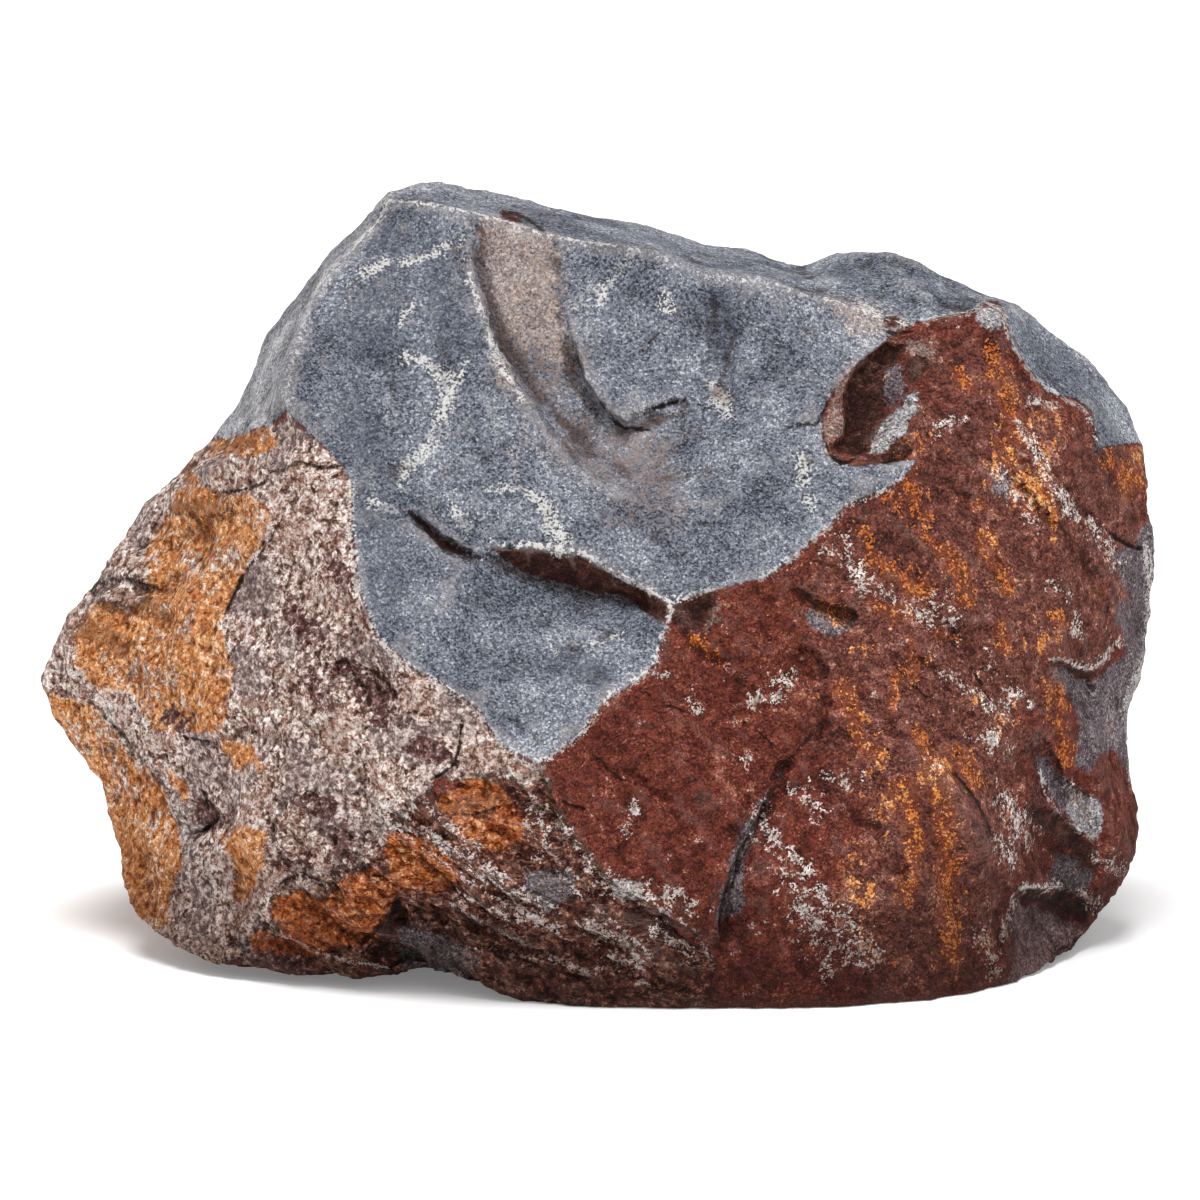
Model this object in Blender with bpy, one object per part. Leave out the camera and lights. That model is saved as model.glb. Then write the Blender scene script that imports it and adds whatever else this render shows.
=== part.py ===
"""A rough quarry stone, broken on every side and resting on its flat underside.

The stone is drawn on a sheet that leans back by SHEET_LEAN: columns run to the right and rows run
down, one square is SQUARE_MM wide, and each point of a line also has a depth, the millimetres that
it lies behind the stone's middle. Membranes stretched between the lines give a front and a back
shell, which are sewn along the outline, made one even skin, roughened, and cut flat at the foot.
Lengths are millimetres until the skin is made a mesh, in metres.
"""

import math

import bmesh
import bpy
import numpy as np

# ---------------------------------------------------------------- driving dimensions
STONE_LENGTH = 557  # from the outline's left end to its right end
LEFT_COLUMN, RIGHT_COLUMN = 44, 1158  # the columns of those ends
SQUARE_MM = STONE_LENGTH / (RIGHT_COLUMN - LEFT_COLUMN)  # one square of the sheet
MIDDLE_COLUMN = 600  # the column over the stone's middle
FOOT_ROW = 1008  # the row of the foot's front edge
SHEET_LEAN = math.radians(12)  # how far the sheet leans back
FOOT_DEPTH = -165  # depth of the foot's front edge
GRID_MM = 2.0  # spacing of the points that the shells are worked out on
SKIN_MM = 2.6  # spacing of the points of the sewn skin
MOST_TRIANGLES = 9600  # what the faceted solid keeps
SUNK_FOOT = -6  # height of the underside before the foot is cut at 0
GRAIN = np.array([0.55, 0.25, -0.8])  # the stone's grain runs down to the right
FLAKE_SIZES = [(80, 10.0), (36, 6.0), (16, 2.8)]  # width and height of the flake scars, large to small
FLAKE_MEAN = 0.35  # the mean height of the scars, taken off so that the stone keeps its size
SWELL_SIZE, SWELL_HEIGHT = 26, 1.4
METRE = 0.001

# ---------------------------------------------------------------- lines of the front, (column, row, depth)
# The outline, clockwise from the peak.
OUTLINE = [
    (388, 186, 15), (425, 188, 32), (470, 193, 55), (500, 198, 70), (550, 204, 84), (600, 212, 94),
    (650, 222, 100), (700, 237, 104), (750, 248, 105), (775, 255, 103), (800, 261, 97), (825, 254, 75),
    (850, 249, 62), (890, 245, 55), (915, 255, 55), (950, 273, 60), (985, 290, 62), (1025, 308, 66),
    (1050, 327, 66), (1090, 357, 66), (1110, 380, 64), (1133, 403, 60), (1142, 450, 52), (1140, 490, 46),
    (1148, 525, 42), (1157, 580, 40), (1158, 610, 40), (1155, 650, 38), (1147, 690, 34), (1136, 712, 36),
    (1133, 760, 40), (1140, 800, 34), (1143, 835, 28), (1138, 858, 18), (1125, 885, 5), (1108, 907, -8),
    (1091, 926, -20), (1088, 940, -30), (1079, 955, -42), (1060, 965, -64), (1040, 971, -80),
    (1000, 986, -108), (960, 1002, -134), (930, 1018, -150), (850, 1022, -158), (740, 1022, -160),
    (625, 1022, -158), (575, 1018, -154), (540, 1008, -150), (510, 995, -148), (475, 986, -142),
    (430, 978, -132), (410, 971, -128), (385, 976, -125), (350, 979, -120), (300, 973, -112),
    (262, 965, -102), (225, 960, -92), (185, 950, -76), (155, 935, -60), (135, 915, -45), (125, 890, -32),
    (122, 855, -18), (118, 820, -8), (110, 790, 0), (92, 762, 8), (70, 735, 12), (55, 715, 15),
    (44, 685, 18), (48, 660, 20), (62, 630, 22), (80, 597, 24), (125, 540, 28), (175, 478, 30),
    (205, 440, 30), (228, 405, 30), (255, 350, 30), (290, 300, 28), (325, 250, 22), (350, 225, 18),
    (372, 200, 15),
]
RIDGE = [
    (390, 200, 5), (430, 204, -3), (470, 212, -9), (510, 222, -14), (540, 234, -18), (575, 240, -19),
    (610, 245, -20), (640, 250, -20), (665, 259, -21), (690, 272, -22), (725, 277, -20), (775, 285, -17),
    (800, 293, -15), (845, 304, -12), (870, 313, -10), (905, 325, -10),
]
LEFT_ARRIS = [
    (390, 200, 5), (375, 225, -4), (345, 255, -15), (325, 275, -24), (312, 300, -33), (303, 325, -42),
    (297, 350, -51), (290, 375, -60), (287, 400, -68), (305, 430, -77), (340, 465, -91), (350, 475, -95),
    (352, 525, -108), (358, 560, -119), (365, 610, -134), (375, 640, -143), (400, 655, -150),
    (445, 690, -161), (470, 700, -165), (485, 715, -170), (505, 745, -177), (538, 765, -182),
]
RIGHT_ARRIS = [
    (538, 765, -182), (560, 745, -176), (580, 725, -170), (600, 700, -163), (655, 670, -150),
    (665, 645, -143), (666, 622, -138), (668, 605, -134), (700, 594, -130), (740, 583, -125),
    (785, 562, -116), (810, 540, -110), (835, 510, -98), (860, 492, -90), (895, 475, -77),
    (912, 455, -68), (922, 420, -56), (915, 385, -40), (912, 350, -24), (905, 325, -10),
]
TOP_RIGHT_EDGE = [
    (905, 325, -10), (945, 316, -8), (970, 313, -6), (985, 301, -4), (1003, 311, -5), (1012, 345, -8),
    (1032, 375, -3), (1060, 397, 4), (1085, 409, 10), (1097, 440, 12),
]
# The valley that runs back over the top from the notch in the outline, and the knoll beside it.
TOP_VALLEY = [(800, 263, 92), (808, 275, 50), (820, 289, 10), (832, 299, -12)]
KNOLL = [(850, 256, 52), (880, 262, 38), (905, 280, 22), (930, 296, 8)]
PROW = [
    (538, 765, -182), (550, 800, -181), (566, 830, -179), (585, 865, -176), (604, 890, -171),
    (640, 960, -168),
]
FOOT_EDGE = [
    (560, 1001, -158), (625, 1001, -164), (700, 1003, -165), (780, 1005, -166), (850, 1003, -162),
    (925, 996, -147), (985, 984, -117),
]
LOWER_FRONT = [(604, 890, -171), (700, 900, -167), (800, 905, -163), (900, 900, -152), (985, 890, -112)]
LOW_RIGHT_BULGE = [(905, 740, -138), (950, 790, -136), (985, 850, -128)]
FAR_RIGHT_RIB = [(1060, 505, -36), (1068, 580, -44), (1062, 640, -56), (1050, 690, -68), (1040, 740, -76)]
UPPER_RIGHT = [(838, 545, -106), (880, 590, -112), (930, 612, -106), (985, 620, -88)]
RIGHT_EDGE = [
    (1097, 440, 12), (1104, 500, 6), (1113, 560, -6), (1112, 620, -12), (1092, 668, -26),
    (1104, 720, -20), (1098, 765, -28), (1100, 800, -28), (1116, 850, -22), (1102, 895, -26),
]
SHOULDER = [(985, 303, -4), (1000, 345, -12), (1008, 400, -24), (1035, 445, -32), (1060, 505, -36)]
LEFT_SHOULDER = [
    (258, 425, -50), (240, 455, -50), (205, 475, -30), (186, 500, -20), (172, 545, -14), (140, 575, -8),
    (102, 596, 0), (80, 630, 3), (76, 665, 2), (90, 700, -4),
]
LEFT_EDGE = [
    (90, 700, -4), (125, 740, -24), (160, 770, -44), (198, 806, -62), (200, 845, -66), (222, 885, -80),
]
LEFT_CREASE = [
    (300, 462, -84), (268, 500, -72), (250, 548, -68), (230, 590, -64), (228, 640, -76), (222, 705, -88),
]
LEFT_FACE = [(340, 690, -136), (300, 760, -128), (262, 820, -114), (255, 880, -106)]
FRONT_LOWER_LEFT = [(455, 765, -166), (400, 800, -160), (330, 850, -142), (300, 885, -132)]
LOW_LUMPS = [(500, 820, -172), (455, 850, -164), (400, 882, -152), (340, 905, -136), (280, 925, -116)]
LOW_BAND = [(575, 905, -166), (500, 905, -164), (450, 925, -154), (505, 965, -158), (560, 975, -162)]
FRONT_LINES = [
    RIDGE, LEFT_ARRIS, RIGHT_ARRIS, TOP_RIGHT_EDGE, TOP_VALLEY, KNOLL, PROW, FOOT_EDGE, LOWER_FRONT,
    LOW_RIGHT_BULGE, FAR_RIGHT_RIB, UPPER_RIGHT, RIGHT_EDGE, SHOULDER, LEFT_SHOULDER, LEFT_EDGE,
    LEFT_CREASE, LEFT_FACE, FRONT_LOWER_LEFT, LOW_LUMPS, LOW_BAND,
]

# ---------------------------------------------------------------- reliefs: (column, row, depth added)
# Each hollow is an edge where nothing is added and lines inside it. The ledge is the recessed facet
# under the long lip, and the scoop is the shell-shaped scar with the tongue that stands in it.
LEDGE_EDGE = [
    (472, 556), (490, 547), (510, 551), (535, 548), (560, 551), (580, 554), (600, 564), (615, 574),
    (635, 584), (655, 596), (668, 605), (666, 645), (655, 670), (600, 700), (560, 745), (538, 765),
    (505, 745), (470, 700), (440, 640), (445, 590),
]
LEDGE_FLOOR = [
    (486, 556, 4), (500, 560, 9), (512, 567, 14), (525, 574, 17), (550, 581, 20), (580, 589, 21),
    (605, 594, 21), (630, 598, 19), (645, 604, 13), (656, 612, 5),
]
SCOOP_EDGE = [
    (470, 214), (470, 250), (475, 280), (485, 320), (500, 360), (515, 382), (530, 402), (545, 425),
    (560, 450), (580, 470), (600, 481), (625, 495), (655, 506), (700, 500), (735, 488), (765, 470),
    (800, 440), (812, 400), (800, 350), (770, 300), (720, 280), (660, 262), (600, 247), (540, 237),
    (500, 223),
]
SCOOP_FLOOR = [
    (480, 226, 5), (486, 262, 9), (497, 305, 13), (513, 350, 16), (535, 388, 17), (560, 420, 17),
    (588, 448, 16), (625, 470, 12), (668, 480, 8), (712, 468, 5),
]
TONGUE = [
    (548, 250, 4), (566, 290, 4), (574, 335, 3), (577, 372, 1), (590, 393, 0), (604, 411, 0),
    (624, 420, 1), (650, 409, 4), (680, 398, 7),
]
UNDER_TONGUE = [
    (552, 300, 12), (560, 345, 15), (566, 380, 16), (580, 403, 16), (597, 424, 15), (622, 432, 14),
    (652, 419, 12), (684, 406, 10),
]
SCOOP_VALLEY = [(712, 300, 7), (718, 340, 9), (722, 385, 8), (735, 430, 6)]
END_HOLLOW_EDGE = [
    (915, 336), (890, 338), (868, 350), (850, 366), (846, 384), (838, 404), (830, 428), (832, 444),
    (850, 452), (880, 460), (908, 450), (921, 420), (915, 385), (918, 355),
]
END_HOLLOW_FLOOR = [
    (905, 346, 6), (882, 356, 11), (866, 374, 13), (856, 396, 13), (850, 420, 10), (862, 438, 6),
]
CAVITY_EDGE = [
    (392, 882), (415, 888), (440, 895), (462, 905), (478, 922), (470, 950), (440, 968), (428, 976),
    (400, 970), (380, 968), (345, 955), (365, 935), (388, 922), (394, 905),
]
CAVITY_FLOOR = [
    (400, 898, 12), (401, 918, 14), (420, 906, 13), (444, 918, 9), (420, 938, 6), (404, 958, 15),
    (370, 950, 8),
]
RECESS_EDGE = [
    (1008, 903), (1030, 893), (1055, 893), (1078, 898), (1096, 912), (1088, 940), (1070, 956),
    (1040, 968), (1008, 965), (1000, 935),
]
RECESS_FLOOR = [
    (1020, 911, 12), (1045, 908, 15), (1070, 914, 14), (1078, 924, 9), (1050, 940, 9), (1022, 935, 8),
]
NOTCH_EDGE = [(1050, 654), (1068, 658), (1090, 664), (1098, 690), (1095, 740), (1072, 745), (1058, 700)]
NOTCH_FLOOR = [(1060, 666, 6), (1078, 673, 11), (1090, 685, 8), (1080, 715, 5)]
CHIP_EDGE = [
    (1040, 740), (1062, 770), (1100, 800), (1128, 842), (1100, 858), (1070, 835), (1030, 806),
    (1028, 765),
]
CHIP_FLOOR = [(1048, 770, 6), (1070, 797, 8), (1100, 828, 7)]
GULLY_EDGE = [
    (816, 738), (808, 764), (794, 784), (788, 808), (776, 828), (778, 848), (762, 870), (764, 905),
    (746, 942), (716, 960), (690, 935), (676, 880), (690, 830), (705, 790), (740, 748), (780, 730),
]
GULLY_FLOOR = [
    (784, 764, 4), (762, 790, 6), (758, 812, 6), (744, 834, 7), (742, 856, 7), (728, 884, 7),
    (722, 930, 4),
]
BROW_EDGE = [
    (792, 592), (812, 596), (835, 600), (862, 612), (880, 640), (850, 668), (815, 650), (790, 635),
]
BROW_FLOOR = [(802, 600, 7), (825, 607, 9), (848, 615, 7), (830, 635, 4)]
LEFT_PIT_EDGE = [
    (168, 514), (200, 520), (226, 512), (236, 560), (205, 590), (160, 600), (120, 606), (135, 575),
]
LEFT_PIT_FLOOR = [(178, 532, 5), (200, 541, 7), (221, 534, 5), (190, 566, 5), (150, 590, 4)]
FACE_PIT_EDGE = [(330, 655), (372, 660), (402, 690), (385, 722), (340, 712), (318, 682)]
FACE_PIT_FLOOR = [(345, 675, 5), (372, 690, 6)]
FOOT_LEFT_EDGE = [(185, 795), (215, 792), (228, 830), (262, 845), (272, 900), (225, 905), (205, 850)]
FOOT_LEFT_FLOOR = [(203, 812, 8), (215, 840, 7), (240, 872, 4)]
LOW_STEP_EDGE = [
    (392, 828), (412, 838), (432, 851), (455, 868), (480, 889), (508, 904), (545, 926), (590, 930),
    (640, 925), (668, 950), (640, 985), (560, 985), (500, 965), (470, 935), (440, 900), (405, 880),
]
LOW_STEP_FLOOR = [
    (410, 848, 4), (438, 866, 6), (466, 889, 7), (500, 914, 8), (545, 937, 7), (600, 945, 5),
]
STEP_SCAR_EDGE = [
    (790, 640), (812, 650), (823, 672), (828, 700), (824, 735), (800, 742), (770, 742), (735, 760),
    (700, 742), (690, 700), (705, 655), (745, 636),
]
STEP_SCAR_FLOOR = [(786, 652, 4), (806, 664, 6), (816, 690, 6), (812, 725, 5), (770, 712, 3)]
UPPER_CHIP_EDGE = [(690, 596), (715, 600), (728, 625), (712, 645), (680, 640), (668, 622)]
UPPER_CHIP_FLOOR = [(692, 606, 4), (708, 616, 5), (690, 625, 3)]
# Two ribs stand out along the grain on the right of the front.
RIB_EDGE = [
    (900, 560), (960, 520), (1035, 560), (1058, 650), (1046, 735), (1016, 778), (950, 765), (900, 690),
]
UPPER_RIB = [(940, 562, -2), (985, 603, -4), (1018, 650, -4), (1032, 705, -3)]
LOWER_RIB = [(920, 632, -2), (950, 678, -3), (985, 722, -4), (1010, 760, -2)]
BETWEEN_RIBS = [(930, 600, 2), (968, 645, 2), (1000, 692, 3), (1020, 735, 2)]
RELIEFS = [
    (LEDGE_EDGE, [LEDGE_FLOOR]),
    (SCOOP_EDGE, [SCOOP_FLOOR, TONGUE, UNDER_TONGUE, SCOOP_VALLEY]),
    (END_HOLLOW_EDGE, [END_HOLLOW_FLOOR]),
    (CAVITY_EDGE, [CAVITY_FLOOR]),
    (RECESS_EDGE, [RECESS_FLOOR]),
    (NOTCH_EDGE, [NOTCH_FLOOR]),
    (CHIP_EDGE, [CHIP_FLOOR]),
    (GULLY_EDGE, [GULLY_FLOOR]),
    (BROW_EDGE, [BROW_FLOOR]),
    (LEFT_PIT_EDGE, [LEFT_PIT_FLOOR]),
    (FACE_PIT_EDGE, [FACE_PIT_FLOOR]),
    (FOOT_LEFT_EDGE, [FOOT_LEFT_FLOOR]),
    (LOW_STEP_EDGE, [LOW_STEP_FLOOR]),
    (STEP_SCAR_EDGE, [STEP_SCAR_FLOOR]),
    (UPPER_CHIP_EDGE, [UPPER_CHIP_FLOOR]),
    (RIB_EDGE, [UPPER_RIB, BETWEEN_RIBS, LOWER_RIB]),
]

# ---------------------------------------------------------------- lines of the back and the foot, (x, y, z)
BACK_TOP = [
    (-168, 66, 285), (-132, 92, 326), (-95, 112, 345), (-50, 130, 342), (0, 140, 333), (50, 147, 318),
    (100, 145, 305), (150, 137, 313), (200, 124, 290), (240, 108, 258), (263, 92, 212),
]
BACK_BELLY = [
    (-265, 78, 118), (-240, 122, 132), (-190, 158, 150), (-112, 184, 152), (-40, 198, 142),
    (50, 204, 135), (132, 194, 145), (205, 170, 155), (250, 134, 165), (269, 90, 165),
]
BACK_LEFT_ARRIS = [
    (-50, 130, 342), (-84, 160, 262), (-112, 184, 152), (-100, 172, 60), (-92, 144, SUNK_FOOT),
]
BACK_RIGHT_ARRIS = [
    (100, 145, 305), (112, 172, 235), (132, 194, 145), (150, 180, 62), (146, 152, SUNK_FOOT),
]
BACK_LEFT_CORNER = [(-168, 66, 285), (-212, 98, 215), (-240, 122, 132), (-236, 104, 70), (-196, 70, 22)]
BACK_RIGHT_CORNER = [(240, 108, 258), (252, 126, 200), (250, 134, 165), (244, 116, 80), (212, 86, 20)]
BACK_FOOT_CORNER = [
    (-236, 104, 70), (-180, 142, 62), (-100, 172, 60), (40, 192, 52), (150, 180, 62), (244, 116, 80),
]
BACK_LINES = [
    BACK_TOP, BACK_BELLY, BACK_LEFT_ARRIS, BACK_RIGHT_ARRIS, BACK_LEFT_CORNER, BACK_RIGHT_CORNER,
    BACK_FOOT_CORNER,
]
FOOT_LOOP = [
    (-30, -148), (60, -154), (150, -148), (190, -100), (208, -20), (200, 76), (146, 152), (60, 174),
    (-20, 170), (-92, 144), (-152, 86), (-166, 0), (-140, -74), (-85, -118), (-30, -148),
]


def on_sheet(line):
    """Sheet points (column, row, ...) as millimetres across and up, with what follows them kept."""
    return [((c - MIDDLE_COLUMN) * SQUARE_MM, (FOOT_ROW - r) * SQUARE_MM, *rest) for c, r, *rest in line]


def up_of(depth, height):
    """How far up the sheet a point at this depth and height is seen."""
    return height * math.cos(SHEET_LEAN) + (depth - FOOT_DEPTH) * math.sin(SHEET_LEAN)


def height_of(up, depth):
    return (up - (depth - FOOT_DEPTH) * math.sin(SHEET_LEAN)) / math.cos(SHEET_LEAN)


def from_space(line):
    return [(x, up_of(y, z), y) for x, y, z in line]


def walk(line, spacing):
    """Evenly spaced points along a line."""
    line = np.array(line, float)
    gone = np.linalg.norm(np.diff(line[:, :2], axis=0), axis=1)
    length = np.concatenate([[0], np.cumsum(gone)])
    at = np.linspace(0, length[-1], max(2, int(length[-1] / spacing) + 1))
    return np.stack([np.interp(at, length, column) for column in line.T], axis=1)


class Grid:
    """Points spaced evenly over the sheet, with the stone's outline in the middle."""

    def __init__(self, spacing, outline):
        self.spacing = spacing
        self.low = np.min([p[:2] for p in outline], axis=0) - 2 * spacing
        size = np.max([p[:2] for p in outline], axis=0) - self.low + 2 * spacing
        self.shape = tuple(int(math.ceil(s / spacing)) + 1 for s in size)
        self.across = self.low[0] + spacing * np.arange(self.shape[0])[:, None] + np.zeros(self.shape)
        self.up = self.low[1] + spacing * np.arange(self.shape[1])[None, :] + np.zeros(self.shape)

    def draw(self, line, fixed, values):
        """Fixes the values along a line (across, up, value)."""
        points = walk(line, self.spacing / 2)
        i = np.rint((points[:, 0] - self.low[0]) / self.spacing).astype(int).clip(0, self.shape[0] - 1)
        j = np.rint((points[:, 1] - self.low[1]) / self.spacing).astype(int).clip(0, self.shape[1] - 1)
        fixed[i, j] = True
        values[i, j] = points[:, 2]

    def within(self, edge):
        """True at the points inside a closed edge."""
        inside = np.zeros(self.shape, bool)
        for (x0, y0, *_), (x1, y1, *_) in zip(edge, edge[1:] + edge[:1]):
            if y0 == y1:
                continue
            crosses = (self.up >= min(y0, y1)) & (self.up < max(y0, y1))
            inside ^= crosses & (self.across < x0 + (self.up - y0) * (x1 - x0) / (y1 - y0))
        return inside

    def sample(self, values, across, up):
        """Values read at any places, blended from the four nearest points."""
        i = ((across - self.low[0]) / self.spacing).clip(0, self.shape[0] - 1.001)
        j = ((up - self.low[1]) / self.spacing).clip(0, self.shape[1] - 1.001)
        i0, j0 = i.astype(int), j.astype(int)
        fi, fj = i - i0, j - j0
        low = values[i0, j0] * (1 - fi) + values[i0 + 1, j0] * fi
        high = values[i0, j0 + 1] * (1 - fi) + values[i0 + 1, j0 + 1] * fi
        return low * (1 - fj) + high * fj


def relax(values, fixed, rounds):
    for _ in range(rounds):
        beside = np.roll(values, 1, 0) + np.roll(values, -1, 0)
        above = np.roll(values, 1, 1) + np.roll(values, -1, 1)
        values = np.where(fixed, values, (beside + above) / 4)
    return values


def membrane(outline, lines, spacing, free_inside=None):
    """Stretches a membrane between lines, from a coarse grid to the finest. With free_inside, a list of
    closed edges, it stays at zero everywhere outside them."""
    coarser = None
    for factor in (8, 4, 2, 1):
        grid = Grid(spacing * factor, outline)
        fixed = np.zeros(grid.shape, bool)
        values = np.zeros(grid.shape)
        if coarser:
            values = coarser[0].sample(coarser[1], grid.across, grid.up)
        if free_inside:
            fixed[:] = True
            for edge in free_inside:
                fixed &= ~grid.within(edge)
            values[fixed] = 0
        for line in lines:
            grid.draw(line, fixed, values)
        values = relax(values, fixed, 240)
        coarser = grid, values
    return coarser


def rim_of(inside):
    """The points inside that have a neighbour outside."""
    whole = inside.copy()
    for i in (-1, 0, 1):
        for j in (-1, 0, 1):
            whole &= np.roll(inside, (i, j), (0, 1))
    return inside & ~whole


def sewn_shells():
    """The front and back shells as one closed mesh: points (x, y, z) and faces."""
    outline = on_sheet(OUTLINE)
    closed = outline + outline[:1]
    foot = from_space([(x, y, SUNK_FOOT) for x, y in FOOT_LOOP])
    grid, front = membrane(outline, [closed, *map(on_sheet, FRONT_LINES)], GRID_MM)
    _, back = membrane(outline, [closed, *map(from_space, BACK_LINES), foot], GRID_MM)
    edges = [on_sheet(edge) for edge, _ in RELIEFS]
    floors = [on_sheet(line) for _, lines in RELIEFS for line in lines]
    _, relief = membrane(outline, floors, GRID_MM, free_inside=edges)
    front = front + relief

    inside = grid.within(outline)
    rim = rim_of(inside)
    trace = walk(closed, GRID_MM / 2)
    places = np.stack([grid.across[rim], grid.up[rim]], axis=1)
    nearest = ((places[:, None] - trace[None, :, :2]) ** 2).sum(axis=2).argmin(axis=1)
    front[rim] = trace[nearest, 2]
    back[rim] = trace[nearest, 2]

    number = np.full((2, *grid.shape), -1)
    number[0][inside] = np.arange(inside.sum())
    within = inside & ~rim
    number[1][within] = inside.sum() + np.arange(within.sum())
    number[1][rim] = number[0][rim]
    across = np.concatenate([grid.across[inside], grid.across[within]])
    up = np.concatenate([grid.up[inside], grid.up[within]])
    depth = np.concatenate([front[inside], back[within]])
    points = np.stack([across, depth, height_of(up, depth)], axis=1)
    faces = []
    for side in (0, 1):
        corners = [number[side][:-1, :-1], number[side][1:, :-1], number[side][1:, 1:], number[side][:-1, 1:]]
        quads = np.stack([c.ravel() for c in corners], axis=1)
        quads = quads[(quads >= 0).all(axis=1)]
        faces.append(quads if side == 0 else quads[:, ::-1])
    faces = np.concatenate(faces)
    folded = np.array([len(set(face)) < 4 for face in faces])
    return points, faces[~folded]


# ---------------------------------------------------------------- roughness
def chance(cells, seed):
    """A repeatable number from 0 to 1 for each whole-numbered cell."""
    cells = cells.astype(np.int64).astype(np.uint32)
    h = cells[..., 0] * np.uint32(374761393) + cells[..., 1] * np.uint32(668265263)
    h = h + cells[..., 2] * np.uint32(2246822519) + np.uint32((seed * 3266489917) % 2**32)
    h = (h ^ (h >> np.uint32(15))) * np.uint32(2246822519)
    h = (h ^ (h >> np.uint32(13))) * np.uint32(3266489917)
    return (h ^ (h >> np.uint32(16))) / 2**32


def rolling(points, seed):
    """Smooth noise from -1 to 1, with swells about one unit wide."""
    cell = np.floor(points)
    part = points - cell
    part = part * part * (3 - 2 * part)
    total = 0
    for corner in np.ndindex(2, 2, 2):
        weight = np.prod(np.where(corner, part, 1 - part), axis=1)
        total = total + weight * chance(cell + corner, seed)
    return 2 * total - 1


def flaked(points, seed, tilt=0.9, bowl=0.7):
    """Scars of flakes about one unit wide that meet in sharp ridges, about one unit deep.

    Each cell of space has a bowl with its own heart, slope and level, and the lowest bowl shows.
    """
    cell = np.floor(points)
    lowest = np.full(len(points), np.inf)
    for corner in np.ndindex(3, 3, 3):
        near = cell + np.array(corner) - 1
        heart = near + np.stack([chance(near, seed + k) for k in range(3)], axis=1)
        slope = np.stack([chance(near, seed + 3 + k) for k in range(3)], axis=1) - 0.5
        level = 0.5 * chance(near, seed + 6)
        away = points - heart
        lowest = np.minimum(lowest, tilt * (slope * away).sum(axis=1) + bowl * (away**2).sum(axis=1) + level)
    return lowest - FLAKE_MEAN


def edge_distance(points, edge):
    """Distance across and up the sheet from each point to a closed edge, negative inside it."""
    up = up_of(points[:, 1], points[:, 2])
    nearest = np.full(len(points), np.inf)
    inside = np.zeros(len(points), bool)
    for (x0, y0, *_), (x1, y1, *_) in zip(edge, edge[1:] + edge[:1]):
        side = np.array([x1 - x0, y1 - y0])
        if not side.any():
            continue
        away = np.stack([points[:, 0] - x0, up - y0], axis=1)
        part = ((away @ side) / (side @ side)).clip(0, 1)
        nearest = np.minimum(nearest, np.linalg.norm(away - part[:, None] * side, axis=1))
        if y0 != y1:
            crosses = (up >= min(y0, y1)) & (up < max(y0, y1))
            inside ^= crosses & (points[:, 0] < x0 + (up - y0) * (x1 - x0) / (y1 - y0))
    return np.where(inside, -nearest, nearest)


def roughness(points):
    """How far the skin moves out at each point, in millimetres: the broad fracture face is the smoothest."""
    face = on_sheet(RIDGE + RIGHT_ARRIS[::-1] + LEFT_ARRIS[::-1])
    rough = 0.35 + 0.65 / (1 + np.exp(-edge_distance(points, face) / 5))
    along = GRAIN / np.linalg.norm(GRAIN)
    stretched = points - 0.62 * (points @ along)[:, None] * along
    out = np.zeros(len(points))
    for seed, (size, height) in enumerate(FLAKE_SIZES):
        out += rough * height * flaked(stretched / size, 12 * seed + 11)
    return out + SWELL_HEIGHT * rolling(points / SWELL_SIZE, 5)


# ---------------------------------------------------------------- making the solid
def new_object(name, points, faces):
    mesh = bpy.data.meshes.new(name)
    mesh.from_pydata(points.tolist(), [], faces.tolist())
    made = bpy.data.objects.new(name, mesh)
    bpy.context.scene.collection.objects.link(made)
    return made


def apply_modifier(made, kind, **settings):
    modifier = made.modifiers.new(kind, kind)
    for setting, value in settings.items():
        setattr(modifier, setting, value)
    graph = bpy.context.evaluated_depsgraph_get()
    result = bpy.data.meshes.new_from_object(made.evaluated_get(graph))
    made.modifiers.clear()
    made.data = result


def read_vectors(items, attribute):
    values = np.empty(len(items) * 3, np.float32)
    items.foreach_get(attribute, values)
    return values.reshape(-1, 3).astype(float)


def roughen(made):
    mesh = made.data
    points = read_vectors(mesh.vertices, "co")
    outward = read_vectors(mesh.vertex_normals, "vector")
    points += outward * roughness(points / METRE)[:, None] * METRE
    mesh.vertices.foreach_set("co", points.astype(np.float32).ravel())
    mesh.update()


def cut_foot(made):
    """Cuts the stone off flat at height 0 and closes the cut with one face."""
    shape = bmesh.new()
    shape.from_mesh(made.data)
    everything = shape.verts[:] + shape.edges[:] + shape.faces[:]
    floor = {"plane_co": (0, 0, 0), "plane_no": (0, 0, 1)}
    bmesh.ops.bisect_plane(shape, geom=everything, dist=1e-6, clear_inner=True, **floor)
    open_edges = [edge for edge in shape.edges if edge.is_boundary]
    bmesh.ops.triangle_fill(shape, edges=open_edges, use_beauty=True, normal=(0, 0, -1))
    bmesh.ops.recalc_face_normals(shape, faces=shape.faces)
    bmesh.ops.triangulate(shape, faces=shape.faces)
    shape.to_mesh(made.data)
    shape.free()


def centre_over_foot(made):
    points = read_vectors(made.data.vertices, "co")
    middle = (points.min(axis=0) + points.max(axis=0)) / 2
    points -= (middle[0], middle[1], points[:, 2].min())
    made.data.vertices.foreach_set("co", points.astype(np.float32).ravel())
    made.data.update()


def stone_material():
    material = bpy.data.materials.new("weathered_stone")
    material.use_nodes = True
    shader = material.node_tree.nodes["Principled BSDF"]
    shader.inputs["Base Color"].default_value = (0.17, 0.12, 0.11, 1)
    shader.inputs["Roughness"].default_value = 0.85
    shader.inputs["Metallic"].default_value = 0.0
    return material


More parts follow.
